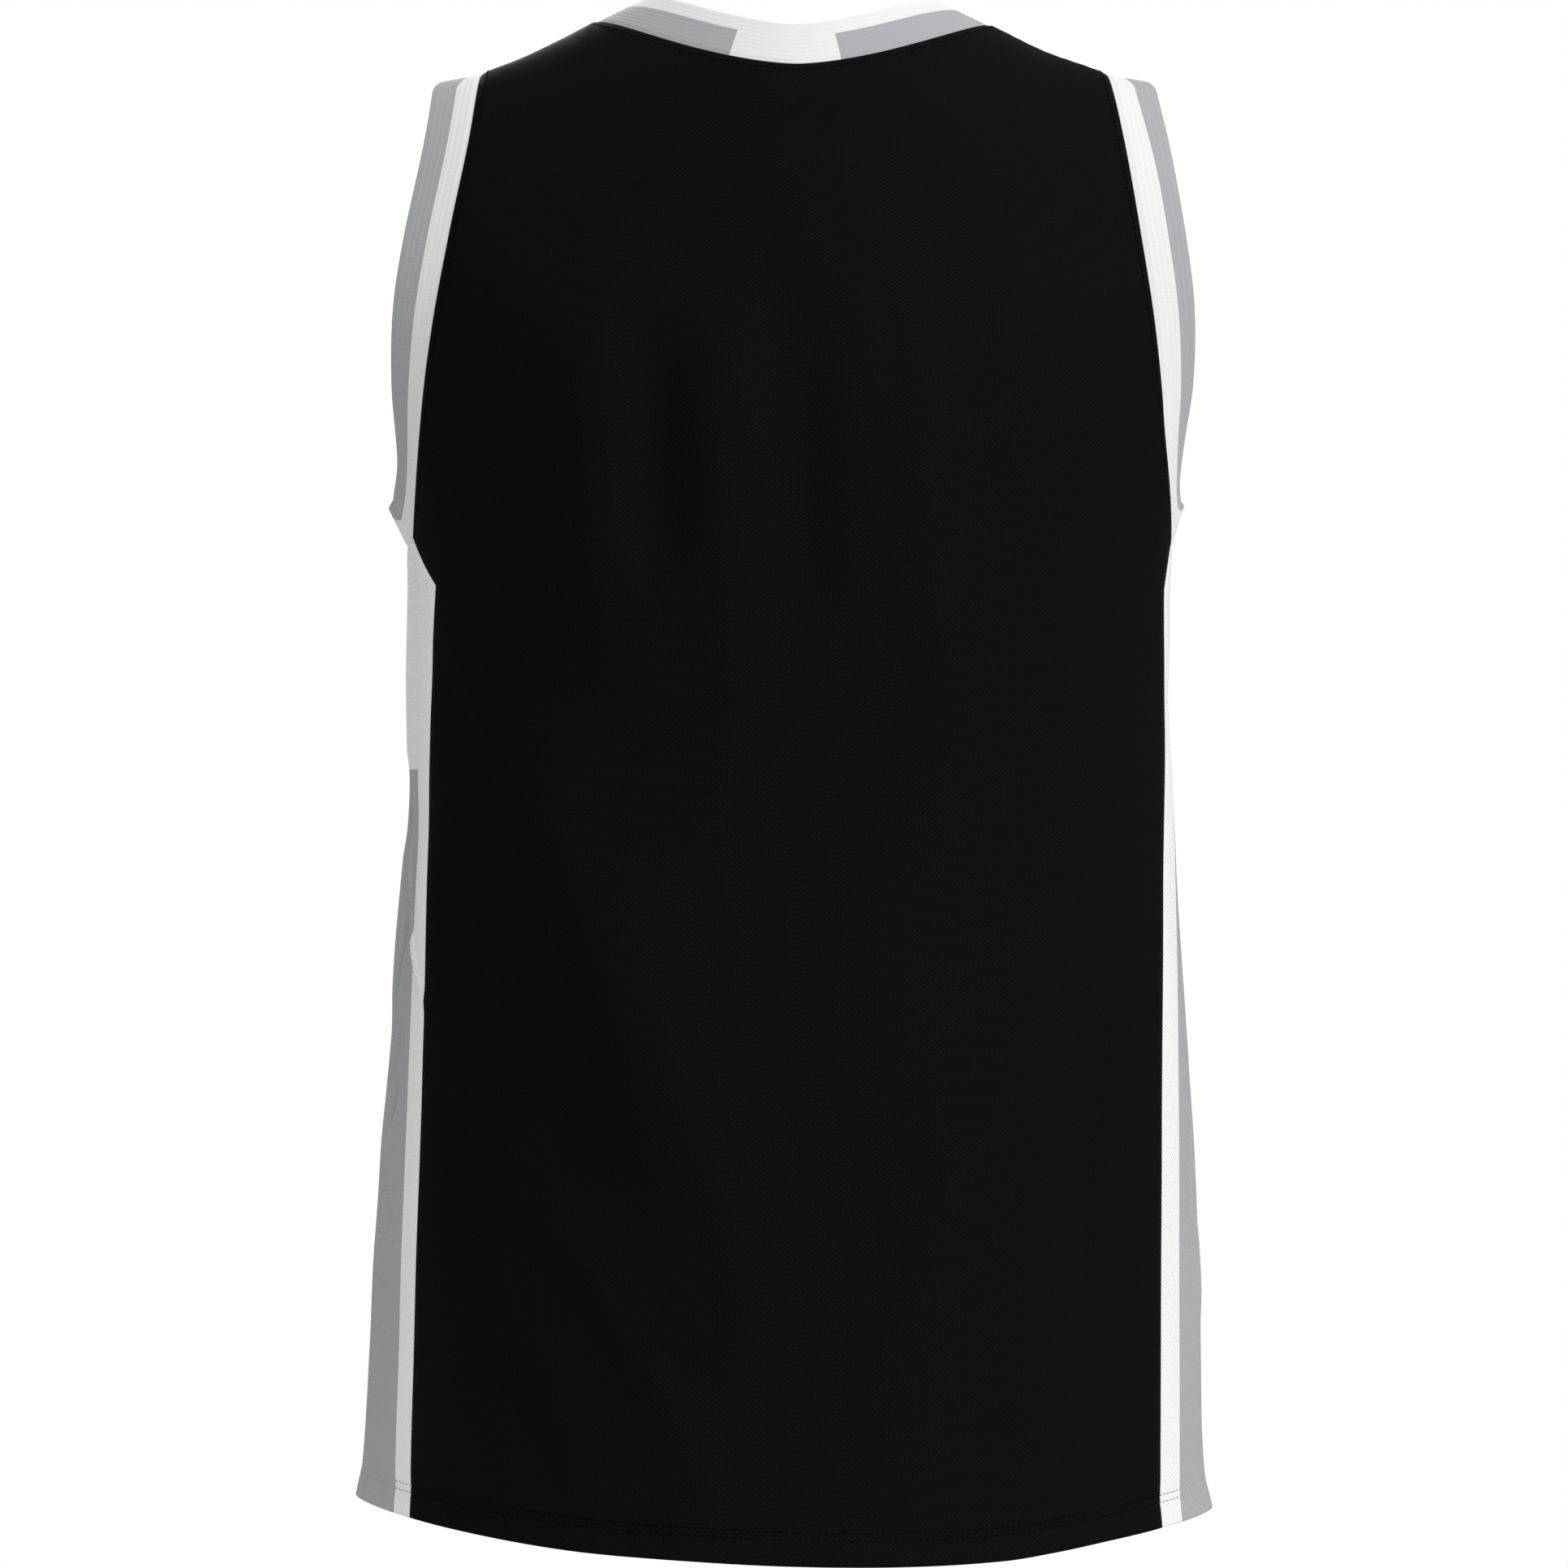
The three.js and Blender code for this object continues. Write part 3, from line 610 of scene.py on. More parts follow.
def buildSide(side):
    heights = bodyHeights()
    edges = []
    for face, way in (("back", 1), ("front", -1)):
        turn = seamTurn(side, face, heights)
        degree = np.linalg.norm(ringPoint(turn, heights) - ringPoint(turn + 1, heights), axis=-1)
        edges.append(turn + way * side * form["seamGap"] / 2 / degree)
    share = shares(panelCuts["sideColumns"])[None, :]
    turn = mix(edges[0][:, None], edges[1][:, None], share)
    z = heights[:, None]
    z = z - form["underarmDip"] * narrowing(z) * np.sin(share * math.pi)
    point = ringPoint(turn, z)
    step = np.linalg.norm(np.diff(point, axis=1, prepend=point[:, :1]), axis=-1)
    across = np.cumsum(step, axis=1)
    across -= (across[:, :1] + across[:, -1:]) / 2
    flat = np.stack([across, z - form["hemZ"]], -1)
    cloth = Patches()
    outward = np.array([side, 0, 0])
    main = cloth.add(point, normalOf(ringPoint, turn, z, 0.5, 0.5, outward), flat)
    cloth.join(main)
    lines = {"hem": main[0], "top": main[-1], "back": main[:, 0], "front": main[:, -1]}
    return *cloth.done(), lines


def gridNormals(point, quads, guide):
    # vertex normals of a displaced sheet, on the side of its first normals
    a, b, c, d = (point[quads[:, k]] for k in range(4))
    face = np.cross(c - a, d - b)
    normal = np.zeros_like(point)
    for k in range(4):
        np.add.at(normal, quads[:, k], face)
    normal = unit(normal)
    return np.where((normal * guide).sum(-1, keepdims=True) < 0, -normal, normal)


def openEdges(quads):
    start, end = quads.reshape(-1), np.roll(quads, -1, axis=1).reshape(-1)
    size = quads.max() + 1
    here, back = start * size + end, end * size + start
    alone = ~np.isin(here, back)
    return np.stack([start[alone], end[alone]], -1)


def shell(point, normal, quads, thickness, outside):
    # a closed wall round a sheet: outer points first, then inner, then the middle of the edge
    outer = point + normal * outside
    inner = outer - normal * np.reshape(thickness, (-1, 1))
    edges = openEdges(quads)
    away = np.zeros_like(point)
    direction = unit(np.cross(point[edges[:, 1]] - point[edges[:, 0]], normal[edges[:, 0]]))
    np.add.at(away, edges[:, 0], direction)
    np.add.at(away, edges[:, 1], direction)
    rim = np.unique(edges)
    width = np.linalg.norm(outer[rim] - inner[rim], axis=-1, keepdims=True)
    middle = (outer[rim] + inner[rim]) / 2 + unit(away[rim]) * width * 0.12
    number = np.full(len(point), -1)
    number[rim] = 2 * len(point) + np.arange(len(rim))
    a, b = edges[:, 0], edges[:, 1]
    faces = [quads, quads[:, ::-1] + len(point),
             np.stack([b, a, number[a], number[b]], -1),
             np.stack([number[b], number[a], a + len(point), b + len(point)], -1)]
    source = np.concatenate([np.arange(len(point)), np.arange(len(point)), rim])
    inside = np.concatenate([np.zeros(len(point)), np.ones(len(point)), np.full(len(rim), 0.5)])
    return np.concatenate([outer, inner, middle]), np.concatenate(faces), source, inside


def addValues(mesh, name, values):
    layer = mesh.attributes.new(name, "FLOAT", "POINT")
    layer.data.foreach_set("value", values.astype(np.float32))


def addMesh(name, points, faces, material, cloth, inside=None):
    mesh = bpy.data.meshes.new(name)
    mesh.from_pydata((points * mm).tolist(), [], faces.tolist())
    mesh.shade_smooth()
    corner = np.empty(len(mesh.loops), np.int32)
    mesh.loops.foreach_get("vertex_index", corner)
    layer = mesh.uv_layers.new(name="cloth")
    layer.data.foreach_set("uv", cloth[corner].astype(np.float32).ravel())
    if inside is not None:
        addValues(mesh, "inside", inside)
    mesh.materials.append(material)
    mesh.update()
    return addObject(name, mesh)


def operator(name, turned=False):
    def method(*values):
        return values[0].maths(name, *(values[::-1] if turned else values))
    return method


# Node sockets as Python values
class Wire:
    def __init__(self, nodes, socket):
        self.nodes, self.socket = nodes, socket

    def maths(self, name, *values):
        return self.nodes.node("ShaderNodeMath", {"operation": name}, *values)

    __add__ = __radd__ = operator("ADD")
    __sub__, __rsub__ = operator("SUBTRACT"), operator("SUBTRACT", turned=True)
    __mul__ = __rmul__ = operator("MULTIPLY")
    __truediv__, __pow__, __abs__ = operator("DIVIDE"), operator("POWER"), operator("ABSOLUTE")
    sine, fraction, least = operator("SINE"), operator("FRACT"), operator("MINIMUM")

    def ramp(self, low, high, first=0.0, last=1.0):
        # a soft step from first to last as the value goes from low to high
        return self.nodes.node("ShaderNodeMapRange", {"interpolation_type": "SMOOTHSTEP"},
                               self, low, high, first, last)


class Nodes:
    def __init__(self, tree):
        self.tree = tree
        self.tree.nodes.clear()
    def node(self, kind, settings=None, *values, output=0, **named):
        made = self.tree.nodes.new(kind)
        for key, value in (settings or {}).items():
            setattr(made, key, value)
        sockets = list(zip(made.inputs, values))
        sockets += [(made.inputs[key.replace("_", " ")], value) for key, value in named.items()]
        for socket, value in sockets:
            if isinstance(value, Wire):
                self.tree.links.new(value.socket, socket)
            elif value is not None:
                socket.default_value = value
        return Wire(self, made.outputs[output]) if len(made.outputs) else None

class Shader(Nodes):
    def __init__(self, name):
        self.material = bpy.data.materials.new(name)
        self.material.use_nodes = True
        super().__init__(self.material.node_tree)

    def colour(self, share, first, second):
        pair = [(*value, 1) if isinstance(value, tuple) else value for value in (first, second)]
        return self.node("ShaderNodeMix", {"data_type": "RGBA"}, share, *[None] * 5, *pair, output=2)
    def place(self):
        # the piece's own flat coordinates in millimetres: across and up, or along and across
        where = self.node("ShaderNodeUVMap", {"uv_map": "cloth"})
        return (self.node("ShaderNodeSeparateXYZ", None, where),
                self.node("ShaderNodeSeparateXYZ", None, where, output=1), where)

    def value(self, name):
        return self.node("ShaderNodeAttribute", {"attribute_name": name}, output=2)

    def noise(self, where, scale, detail=3.0, rough=0.6):
        return self.node("ShaderNodeTexNoise", {"noise_dimensions": "2D"}, Vector=where,
                         Scale=scale, Detail=detail, Roughness=rough)

    def finish(self, colour, roughness, height, depth, specular, sheen=0.0):
        bump = self.node("ShaderNodeBump", None, Strength=1.0, Distance=depth * mm, Height=height)
        surface = self.node("ShaderNodeBsdfPrincipled", None, Base_Color=colour,
                            Roughness=roughness, Normal=bump, Sheen_Weight=sheen,
                            Sheen_Roughness=0.45, Specular_IOR_Level=specular)
        self.node("ShaderNodeOutputMaterial", None, surface)
        return self.material


# Fine eyelet mesh of the panels, its holes painted darker as the shade seen through them; the side
# pieces are white with a grey stripe down the middle
meshKnit = {
    "eyeletAcross": 2.7, "eyeletUp": 2.3, "eyeletSize": 0.36, "waleWidth": 0.55, "relief": 0.25,
    # hole is the painted shade in the eyelets, and contrast is how strongly it is painted
    "black": {"yarn": (0.0042, 0.0042, 0.0044), "hole": (0.0013, 0.0013, 0.0013),
              "specular": 0.006, "contrast": 0.6},
    "white": {"yarn": (0.66, 0.66, 0.665), "hole": (0.42, 0.42, 0.43),
              "specular": 0.15, "contrast": 0.15},
}
sidePrint = {"grey": (0.295, 0.3, 0.31), "topHeight": 380.0, "edge": {"left": 13.4, "right": 18.0}}
def eyelets(shader, u, v):
    a, b = u / meshKnit["eyeletAcross"], v / meshKnit["eyeletUp"]

    def nearest(shift):
        x = (a + shift).fraction() - 0.5
        y = ((b + shift).fraction() - 0.5) * (meshKnit["eyeletUp"] / meshKnit["eyeletAcross"])
        return x * x + y * y
    near = nearest(0.0).least(nearest(0.5)) ** 0.5
    size = meshKnit["eyeletSize"] / meshKnit["eyeletAcross"]
    return near.ramp(size * 0.7, size * 1.5, 1.0, 0.0)

def sideStripe(shader, u, v, white):
    across = (shader.value("stripe") - abs(u)).ramp(-0.15, 0.15)
    below = (sidePrint["topHeight"] - v).ramp(-0.15, 0.15)
    printed = across * below * (1 - shader.value("inside") * 0.75)
    return shader.colour(printed, white, sidePrint["grey"])


def meshCloth(name, stripe=None):
    look = meshKnit[name]
    shader = Shader(f"{name}_mesh")
    u, v, where = shader.place()
    eyelet = eyelets(shader, u, v)
    wale = (u * (2 * math.pi / meshKnit["waleWidth"])).sine()
    fibre = shader.noise(where, 1.7)
    cloud = shader.noise(where, 0.02, 3.0, 0.55)
    yarn = stripe(shader, u, v, look["yarn"]) if stripe else look["yarn"]
    # painted shade in the eyelets: the hole colour, varied at random, laid over the yarn by contrast
    dark = tuple(part * 0.93 for part in look["hole"])
    holeShade = shader.colour((cloud - 0.5) * 0.5 + 0.5, dark, look["hole"])
    shade = shader.colour(eyelet * look["contrast"], yarn, holeShade)
    height = fibre * 0.16 + wale * 0.05 - eyelet * 0.9
    rough = fibre * 0.1 + cloud * 0.06 + 0.5
    return shader.finish(shade, rough, height, meshKnit["relief"], look["specular"])


blackMesh = meshCloth("black")
whiteMesh = meshCloth("white", sideStripe)

# Knitted rib: raised lines run along the band and fine courses cross it; shade in the grooves and
# between the courses is painted into the colour
ribKnit = {
    "white": (0.6, 0.6, 0.605), "grey": (0.29, 0.295, 0.305), "course": 1.15,
    "neckPitch": 2.6, "armPitch": 3.1, "relief": 0.14, "grooveShade": 0.62,
}


def ribCloth(name, pitch, greyMask):
    shader = Shader(name)
    along, across, where = shader.place()
    course = (along * (2 * math.pi / ribKnit["course"])).sine()
    groove = (across * (2 * math.pi / pitch) + math.pi / 2).sine()
    fibre = shader.noise(where, 2.2)
    grey = greyMask(shader, along, across) * (1 - shader.value("inside") * 0.6)
    base = shader.colour(grey, ribKnit["white"], ribKnit["grey"])
    # painted shade: darker in the grooves between the raised lines and between the courses
    dark = (0.5 - course * 0.5) * 0.04 + groove.ramp(0.4, 1.0) * 0.06
    grooveShade = shader.node("ShaderNodeVectorMath", {"operation": "SCALE"}, base, Scale=ribKnit["grooveShade"])
    shade = shader.colour(dark, base, grooveShade)
    height = course * 0.1 + fibre * 0.2
    return shader.finish(shade, fibre * 0.12 + 0.7, height, 0.3, 0.2, 0.1)


# Print line of the armhole ribs, from the seam: at the shoulder, just below it and further down,
# and the stretches along the rib over which it moves
armPrint = {"left": (7.2, 11.4, 11.4), "right": (9.8, 12.6, 14.8)}
armPrintRuns = {"shoulder": (0.0, 18.0), "upper": (18.0, 90.0), "underarm": (256.0, 304.0)}
armPrintOut = 9.0


def armGrey(start, below, low):
    def mask(shader, along, across):
        line = along.ramp(*armPrintRuns["shoulder"], start, below)
        line += along.ramp(*armPrintRuns["upper"], 0.0, low - below)
        line += along.ramp(*armPrintRuns["underarm"], 0.0, armPrintOut)
        return (across - line).ramp(-0.25, 0.25)
    return mask

# Grey blocks of the neck rib, from this far off the middle of the back and of the front
neckBlocks = {"end": 29.0, "inner": 17.0, "centre": 4.4}


def neckGrey(shader, along, across):
    start = abs(along).ramp(neckBlocks["end"] - 0.3, neckBlocks["end"] + 0.3)
    low = across.ramp(neckBlocks["inner"] - 0.3, neckBlocks["inner"] + 0.3, 1.0, 0.0)
    return start * low


neckRibCloth = ribCloth("neck_rib_knit", ribKnit["neckPitch"], neckGrey)
armRibCloth = {name: ribCloth(f"arm_rib_knit_{name}", ribKnit["armPitch"], armGrey(*places))
               for name, places in armPrint.items()}
print("materials made")

# Walls of the cloth, and the small waves that sewing leaves at the seams and the hem
hemSewing = {"rows": (12, 15.6), "groove": 0.28, "grooveWidth": 0.75}
wallSizes = {
    "cloth": 1.0, "hem": 2.0, "outside": 0.5, "hemStep": 17.7, "seamDip": 0.6, "dipWidth": 2.4,
    "pucker": 0.22, "puckerReach": 5, "hemWave": 0.16,
}


def seamDistance(point, seams):
    tree = KDTree(len(seams))
    for i, place in enumerate(seams):
        tree.insert(place, i)
    tree.balance()
    return np.array([tree.find(place)[2] for place in point])


def needleGrooves(height):
    # the two rows of hem stitching pull the cloth in
    total = 0 * height
    for row in hemSewing["rows"]:
        away = (height - row) / hemSewing["grooveWidth"]
        total += hemSewing["groove"] * np.exp(-(away**2))
    return total


def finishSheet(point, normal, quads, flat, lines, seamNames):
    point = point + normal * foldHeight(point, normal)[:, None]
    seams = np.concatenate([point[lines[name]] for name in seamNames])
    away = seamDistance(point, seams)
    normal = gridNormals(point, quads, normal)
    dip = wallSizes["seamDip"] * np.exp(-((away / wallSizes["dipWidth"]) ** 2))
    pucker = np.exp(-away / wallSizes["puckerReach"]) * np.sin(point[:, 2] * 0.75 + point[:, 0] * 0.5)
    pucker *= wallSizes["pucker"]
    height = flat[:, 1]
    hem = np.exp(-((height - 9) / 7) ** 2) * np.sin(flat[:, 0] * 0.62 + height * 0.12)
    hem *= wallSizes["hemWave"]
    push = pucker * smooth(away / 2) - dip - needleGrooves(height) + hem
    point = point + normal * push[:, None]
    return point, gridNormals(point, quads, normal)


def wallOf(point, normal, quads, flat, material, name):
    low = flat[:, 1] < wallSizes["hemStep"]
    thick = np.where(low, wallSizes["hem"], wallSizes["cloth"])
    wall, faces, source, inside = shell(point, normal, quads, thick, wallSizes["outside"])
    return addMesh(name, wall, faces, material, flat[source], inside), source


seamLines, sheets = {}, {}


def addSheet(name, label, material, made):
    point, normal, flat, quads, lines = made
    seams = [line for line in lines if line != "hem"]
    point, normal = finishSheet(point, normal, quads, flat, lines, seams)
    sheets[name], source = wallOf(point, normal, quads, flat, material, label)
    seamLines[name] = {"point": point, "normal": normal, "quads": quads, **lines}
    print(label, "made with", len(sheets[name].data.vertices), "points")
    return flat, source


for face in ("back", "front"):
    addSheet(face, f"{face}_cloth", blackMesh, buildPanel(face))
for name, side in (("left", 1), ("right", -1)):
    flat, source = addSheet(name, f"side_cloth_{name}", whiteMesh, buildSide(side))
    columns = panelCuts["sideColumns"] + 1
    half = np.repeat(flat[:, 0].reshape(-1, columns)[:, -1], columns)
    addValues(sheets[name].data, "stripe", (half - sidePrint["edge"][name])[source])


def seamRun(piece, line):
    sheet = seamLines[piece]
    return sheet["point"][sheet[line]], sheet["normal"][sheet[line]]


def joinRuns(*runs):
    return [np.concatenate(parts) for parts in zip(*runs)]


def turnRun(run):
    return [part[::-1] for part in run]


def trimRun(run, first, last):
    return [part[first:len(part) - last] for part in run]


def lengthAlong(point):
    return np.concatenate([[0], np.cumsum(np.linalg.norm(np.diff(point, axis=0), axis=-1))])


def valuesAt(at, length, values):
    return np.stack([np.interp(at, length, values[:, k]) for k in range(3)], -1)


def evenRun(run, spacing):
    # the closed seam again, with its points evenly spaced
    point, normal = (np.concatenate([part, part[:1]]) for part in run)
    length = lengthAlong(point)
    at = np.linspace(0, length[-1], int(length[-1] / spacing), endpoint=False)
    return valuesAt(at, length, point), unit(valuesAt(at, length, normal)), at, length[-1]


def relax(values, rounds):
    for _ in range(rounds):
        values = (np.roll(values, 1, axis=0) + 2 * values + np.roll(values, -1, axis=0)) / 4
    return values


bandSizes = {
    "thick": 1.9, "spacing": 1.9, "acrossStep": 0.55, "insideStep": 2.4, "gap": 0.25,
    "rootThin": 0.5, "rootReach": 1.6,
}
armCorner = {"cut": 0.15, "reach": 7.5} # the rib's free corner on the shoulder is a little rounded


def fromShoulder(at, length):
    return np.minimum(at, length - at)


def buildBand(name, run, width, pitch, lean, material, alongOf, corner=None):
    # a knitted band on a closed seam: outer face with raised lines, rounded edge, plain inside
    point, normal, at, length = evenRun(run, bandSizes["spacing"])
    share = at / length
    tangent = unit(relax(np.roll(point, -1, axis=0) - np.roll(point, 1, axis=0), 4))
    way = unit(relax(unit(lean(share)), 6))
    face = unit(np.cross(tangent, way))
    face = np.where((face * normal).sum(-1, keepdims=True) < 0, -face, face)
    normal = unit(relax(normal, 4))
    half = bandSizes["thick"] / 2
    outer = np.arange(0, width - half, bandSizes["acrossStep"])
    arc = np.linspace(math.pi / 2, -math.pi / 2, 9)[1:-1]
    profile = [(v, half) for v in outer]
    profile += [(width - half + half * math.cos(a), half * math.sin(a)) for a in arc]
    profile += [(v, -half) for v in np.arange(width - half, -0.01, -bandSizes["insideStep"])]
    reach = 1
    if corner:
        away = fromShoulder(at, length)
        reach = (1 - corner["cut"] * np.exp(-((away / corner["reach"]) ** 2)))[:, None]
    rows = []
    for v, lift in profile:
        facing = unit(mix(normal, face, smooth(v / width)))
        wave = (math.cos(2 * math.pi * v / pitch) - 1) / 2
        relief = ribKnit["relief"] * wave if lift == half else 0
        root = math.exp(-((v / bandSizes["rootReach"]) ** 2)) * bandSizes["rootThin"]
        middle = form["cadCloth"] / 2 - half + 0.05
        height = middle + lift * (1 - root) + relief
        rows.append(point + way * (bandSizes["gap"] + v * reach) + facing * height)
    grid = np.stack(rows, 1)
    faces, _ = tubeQuads(grid)
    points = grid.reshape(-1, 3)
    a, b, d = (points[faces[:, k]] for k in (0, 1, 3))
    if (a * np.cross(b, d)).sum() < 0:
        faces = faces[:, ::-1]
    along = np.repeat(alongOf(at, length), len(profile))
    across = np.tile([v for v, _ in profile], len(at))
    inside = np.tile([0.0 if lift > -half else 1.0 for _, lift in profile], len(at))
    obj = addMesh(name, points, faces, material, np.stack([along, across], -1), inside)
    return obj, (point, normal, way)


def leanWay(rows, key, sign, at):
    return np.stack([sign * read(rows, key, at, "at"), read(rows, "back", at, "at"),
                     read(rows, "up", at, "at")], -1)


bands = {}
for name, side in (("left", 1), ("right", -1)):
    run = joinRuns(turnRun(seamRun("back", f"arm{side}")), trimRun(seamRun(name, "top"), 2, 2),
                   trimRun(seamRun("front", f"arm{side}"), 0, 1))

    def armLean(share, side=side, name=name):
        return leanWay(armRibLean, name, side, share)
    bands[name] = buildBand(f"armhole_band_{name}", run, form["armRibWidth"], ribKnit["armPitch"],
                            armLean, armRibCloth[name], fromShoulder, armCorner)

behind, ahead = seamRun("back", "neck"), turnRun(seamRun("front", "neck"))
backLength, frontLength = lengthAlong(behind[0])[-1], lengthAlong(ahead[0])[-1]
shoulderShare = backLength / (backLength + frontLength)


def neckLean(share):
    inBack = share < shoulderShare
    backPart = np.abs(1 - 2 * share / shoulderShare)
    frontPart = (share - shoulderShare) / (1 - shoulderShare)
    at = np.where(inBack, backPart * neckShoulder,
                  neckShoulder + (1 - neckShoulder) * (1 - np.abs(1 - 2 * frontPart)))
    middle = np.where(inBack, shoulderShare / 2, (1 + shoulderShare) / 2)
    side = np.where((share < middle) == inBack, -1, 1)
    return leanWay(neckRibLean, "inward", -side, at)


def neckAlong(at, length):
    # distance from the middle of the back, and from the middle of the front, whichever is less
    centre = backLength / 2 + neckBlocks["centre"]
    away = np.abs((at - centre + length / 2) % length - length / 2)
    return np.minimum(away, length / 2 - away)


run = joinRuns(behind, trimRun(ahead, 1, 1))
bands["neck"] = buildBand("neck_band", run, form["neckRibWidth"], ribKnit["neckPitch"],
                          neckLean, neckRibCloth, neckAlong)
print("bands made")

# Seam allowances: overlocked edges turned onto the inside, behind every seam
allowance = {"under": 1.4, "wide": 6.5, "thick": 0.8, "drop": 0.62, "wave": 0.25, "thread": 1.7}


def overlockCloth():
    shader = Shader("overlock")
    along, across, where = shader.place()
    slant = ((along + across * 0.45) * (2 * math.pi / allowance["thread"])).sine()
    fibre = shader.noise(where, 1.5, 2.0, 0.6)
    # painted shade: darker in the low lines between the slanted threads, lighter on the threads
    shade = shader.colour(slant.ramp(-0.6, 0.8), (0.002, 0.002, 0.002), (0.008, 0.008, 0.0085))
    return shader.finish(shade, fibre * 0.15 + 0.6, slant * 0.5 + fibre * 0.3, 0.3, 0.1)


overlock = overlockCloth()


def tapeMesh(point, normal, inward, closed):
    # points, quads and flat places of one strip; inward points from the seam into its cloth
    along = lengthAlong(point)
    wave = allowance["wave"] * np.sin(along * 0.31) * np.sin(along * 0.083 + 1)
    top = [(-allowance["under"], 0), (0.6, 0), (2.6, 0), (4.6, 0), (allowance["wide"] - 0.3, 0.1)]
    low = [(allowance["wide"], 0.5), (4.6, 1), (2.6, 1), (0.6, 1), (-allowance["under"], 1)]
    rows, across = [], []
    for far, deep in top + low:
        lift = -allowance["drop"] - deep * allowance["thick"] - smooth(far / 6) * (0.3 + wave)
        rows.append(point + inward * far + normal * lift[:, None])
        across.append(far)
    grid = np.stack(rows, 1)
    quads, number = tubeQuads(grid, closed)
    if not closed:
        for row, way in ((number[0, :-1], 1), (number[-1, :-1], -1)):
            cap = [[row[k], row[k + 1], row[8 - k], row[9 - k]][::way] for k in range(4)]
            quads = np.concatenate([quads, cap])
    flat = np.stack([np.repeat(along, len(across)), np.tile(across, len(along))], -1)
    return grid.reshape(-1, 3), quads, flat


def tapeFrames(point, normal, towards):
    tangent = unit(np.gradient(point, axis=0))
    inward = unit(np.cross(tangent, normal))
    sign = np.sign((inward * towards).sum(-1, keepdims=True))
    return inward * np.where(sign == 0, 1, sign)


def joinMeshes(parts):
    points, faces, flats, count = [], [], [], 0
    for point, quads, flat in parts:
        points.append(point)
        faces.append(quads + count)
        flats.append(flat)
        count += len(point)
    return np.concatenate(points), np.concatenate(faces), np.concatenate(flats)

tapes = []


def addTape(run, towards, closed=False):
    tapes.append(tapeMesh(*run, tapeFrames(*run, towards), closed))


for face in ("back", "front"):
    for side in (-1, 1):
        addTape(seamRun(face, f"side{side}"), np.array([-side, 0, 0]))
for side in (-1, 1):
    addTape(seamRun("back", f"shoulder{side}"), np.array([0, 1, 0]))
for name in ("left", "right", "neck"):
    point, normal, way = bands[name][1]
    addTape((point, normal), -way, True)
seamAllowances = joinMeshes(tapes)
seamAllowances = addMesh("seam_allowances", *seamAllowances[:2], overlock, seamAllowances[2])
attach(seamAllowances, "root")
print("seam allowances made")

# Stitches: thread loops along lines on the cloth, made by a node tree
sewing = {
    "length": 2.5, "spacing": 3.1, "thickness": 0.65, "edge": 4.0, "lift": 0.12, "seed": 4,
    "zigzagThickness": 0.22,
}


def threadCloth(name, colour):
    shader = Shader(name)
    where = shader.node("ShaderNodeTexCoord", None, output=3)
    twist = shader.node("ShaderNodeTexNoise", None, Vector=where, Scale=2200.0, Detail=2.0)
    shade = shader.colour(twist, tuple(c * 0.8 for c in colour), colour)
    return shader.finish(shade, twist * 0.2 + 0.5, twist, 0.1, 0.03)


blackThread = threadCloth("black_thread", (0.0008, 0.0008, 0.0008))
paleThread = threadCloth("pale_thread", (0.4, 0.405, 0.415))

class SewingTree(Nodes):
    # a geometry node tree with named inputs
    def __init__(self, name, **inputs):
        super().__init__(bpy.data.node_groups.new(name, "GeometryNodeTree"))
        sockets = self.tree.interface
        sockets.new_socket("Geometry", in_out="OUTPUT", socket_type="NodeSocketGeometry")
        self.ids = {}
        for key, kind in {"Geometry": "Geometry", **inputs}.items():
            made = sockets.new_socket(key, in_out="INPUT", socket_type=f"NodeSocket{kind}")
            self.ids[key] = made.identifier
        start = self.tree.nodes.new("NodeGroupInput")
        self.given = {key: Wire(self, start.outputs[key]) for key in self.ids}

    def finish(self, geometry):
        threaded = self.node("GeometryNodeSetMaterial", Geometry=geometry,
                             Material=self.given["Thread"])
        self.node("NodeGroupOutput", None, threaded)
        return self


def stitchTree():
    tree = SewingTree("stitch_rows", Spacing="Float", Length="Float", Thickness="Float",
                      Seed="Int", Thread="Material")
    given = tree.given
    line = tree.node("GeometryNodeMeshToCurve", Mesh=given["Geometry"])
    spaced = tree.node("GeometryNodeResampleCurve", {"mode": "LENGTH"}, Curve=line,
                       Length=given["Spacing"])
    turned = tree.node("FunctionNodeAlignRotationToVector", {"axis": "X"},
                       Vector=tree.node("GeometryNodeInputTangent"))
    bead = tree.node("GeometryNodeMeshUVSphere", Segments=8, Rings=4, Radius=0.5)
    size = tree.node("ShaderNodeCombineXYZ", None, given["Length"], given["Thickness"],
                     given["Thickness"])
    loop = tree.node("GeometryNodeTransform", Geometry=bead, Scale=size)
    uneven = tree.node("FunctionNodeRandomValue", {"data_type": "FLOAT"}, None, None, 0.9, 1.06,
                       Seed=given["Seed"], output=1)
    placed = tree.node("GeometryNodeInstanceOnPoints", Points=spaced, Instance=loop,
                       Rotation=turned, Scale=uneven)
    real = tree.node("GeometryNodeRealizeInstances", Geometry=placed)
    return tree.finish(tree.node("GeometryNodeSetShadeSmooth", Geometry=real))


def threadTree():
    tree = SewingTree("loose_thread", Thickness="Float", Thread="Material")
    line = tree.node("GeometryNodeMeshToCurve", Mesh=tree.given["Geometry"])
    circle = tree.node("GeometryNodeCurvePrimitiveCircle", Resolution=5,
                       Radius=tree.given["Thickness"])
    tube = tree.node("GeometryNodeCurveToMesh", Curve=line, Profile_Curve=circle, Fill_Caps=True)
    return tree.finish(tree.node("GeometryNodeRealizeInstances", Geometry=tube))


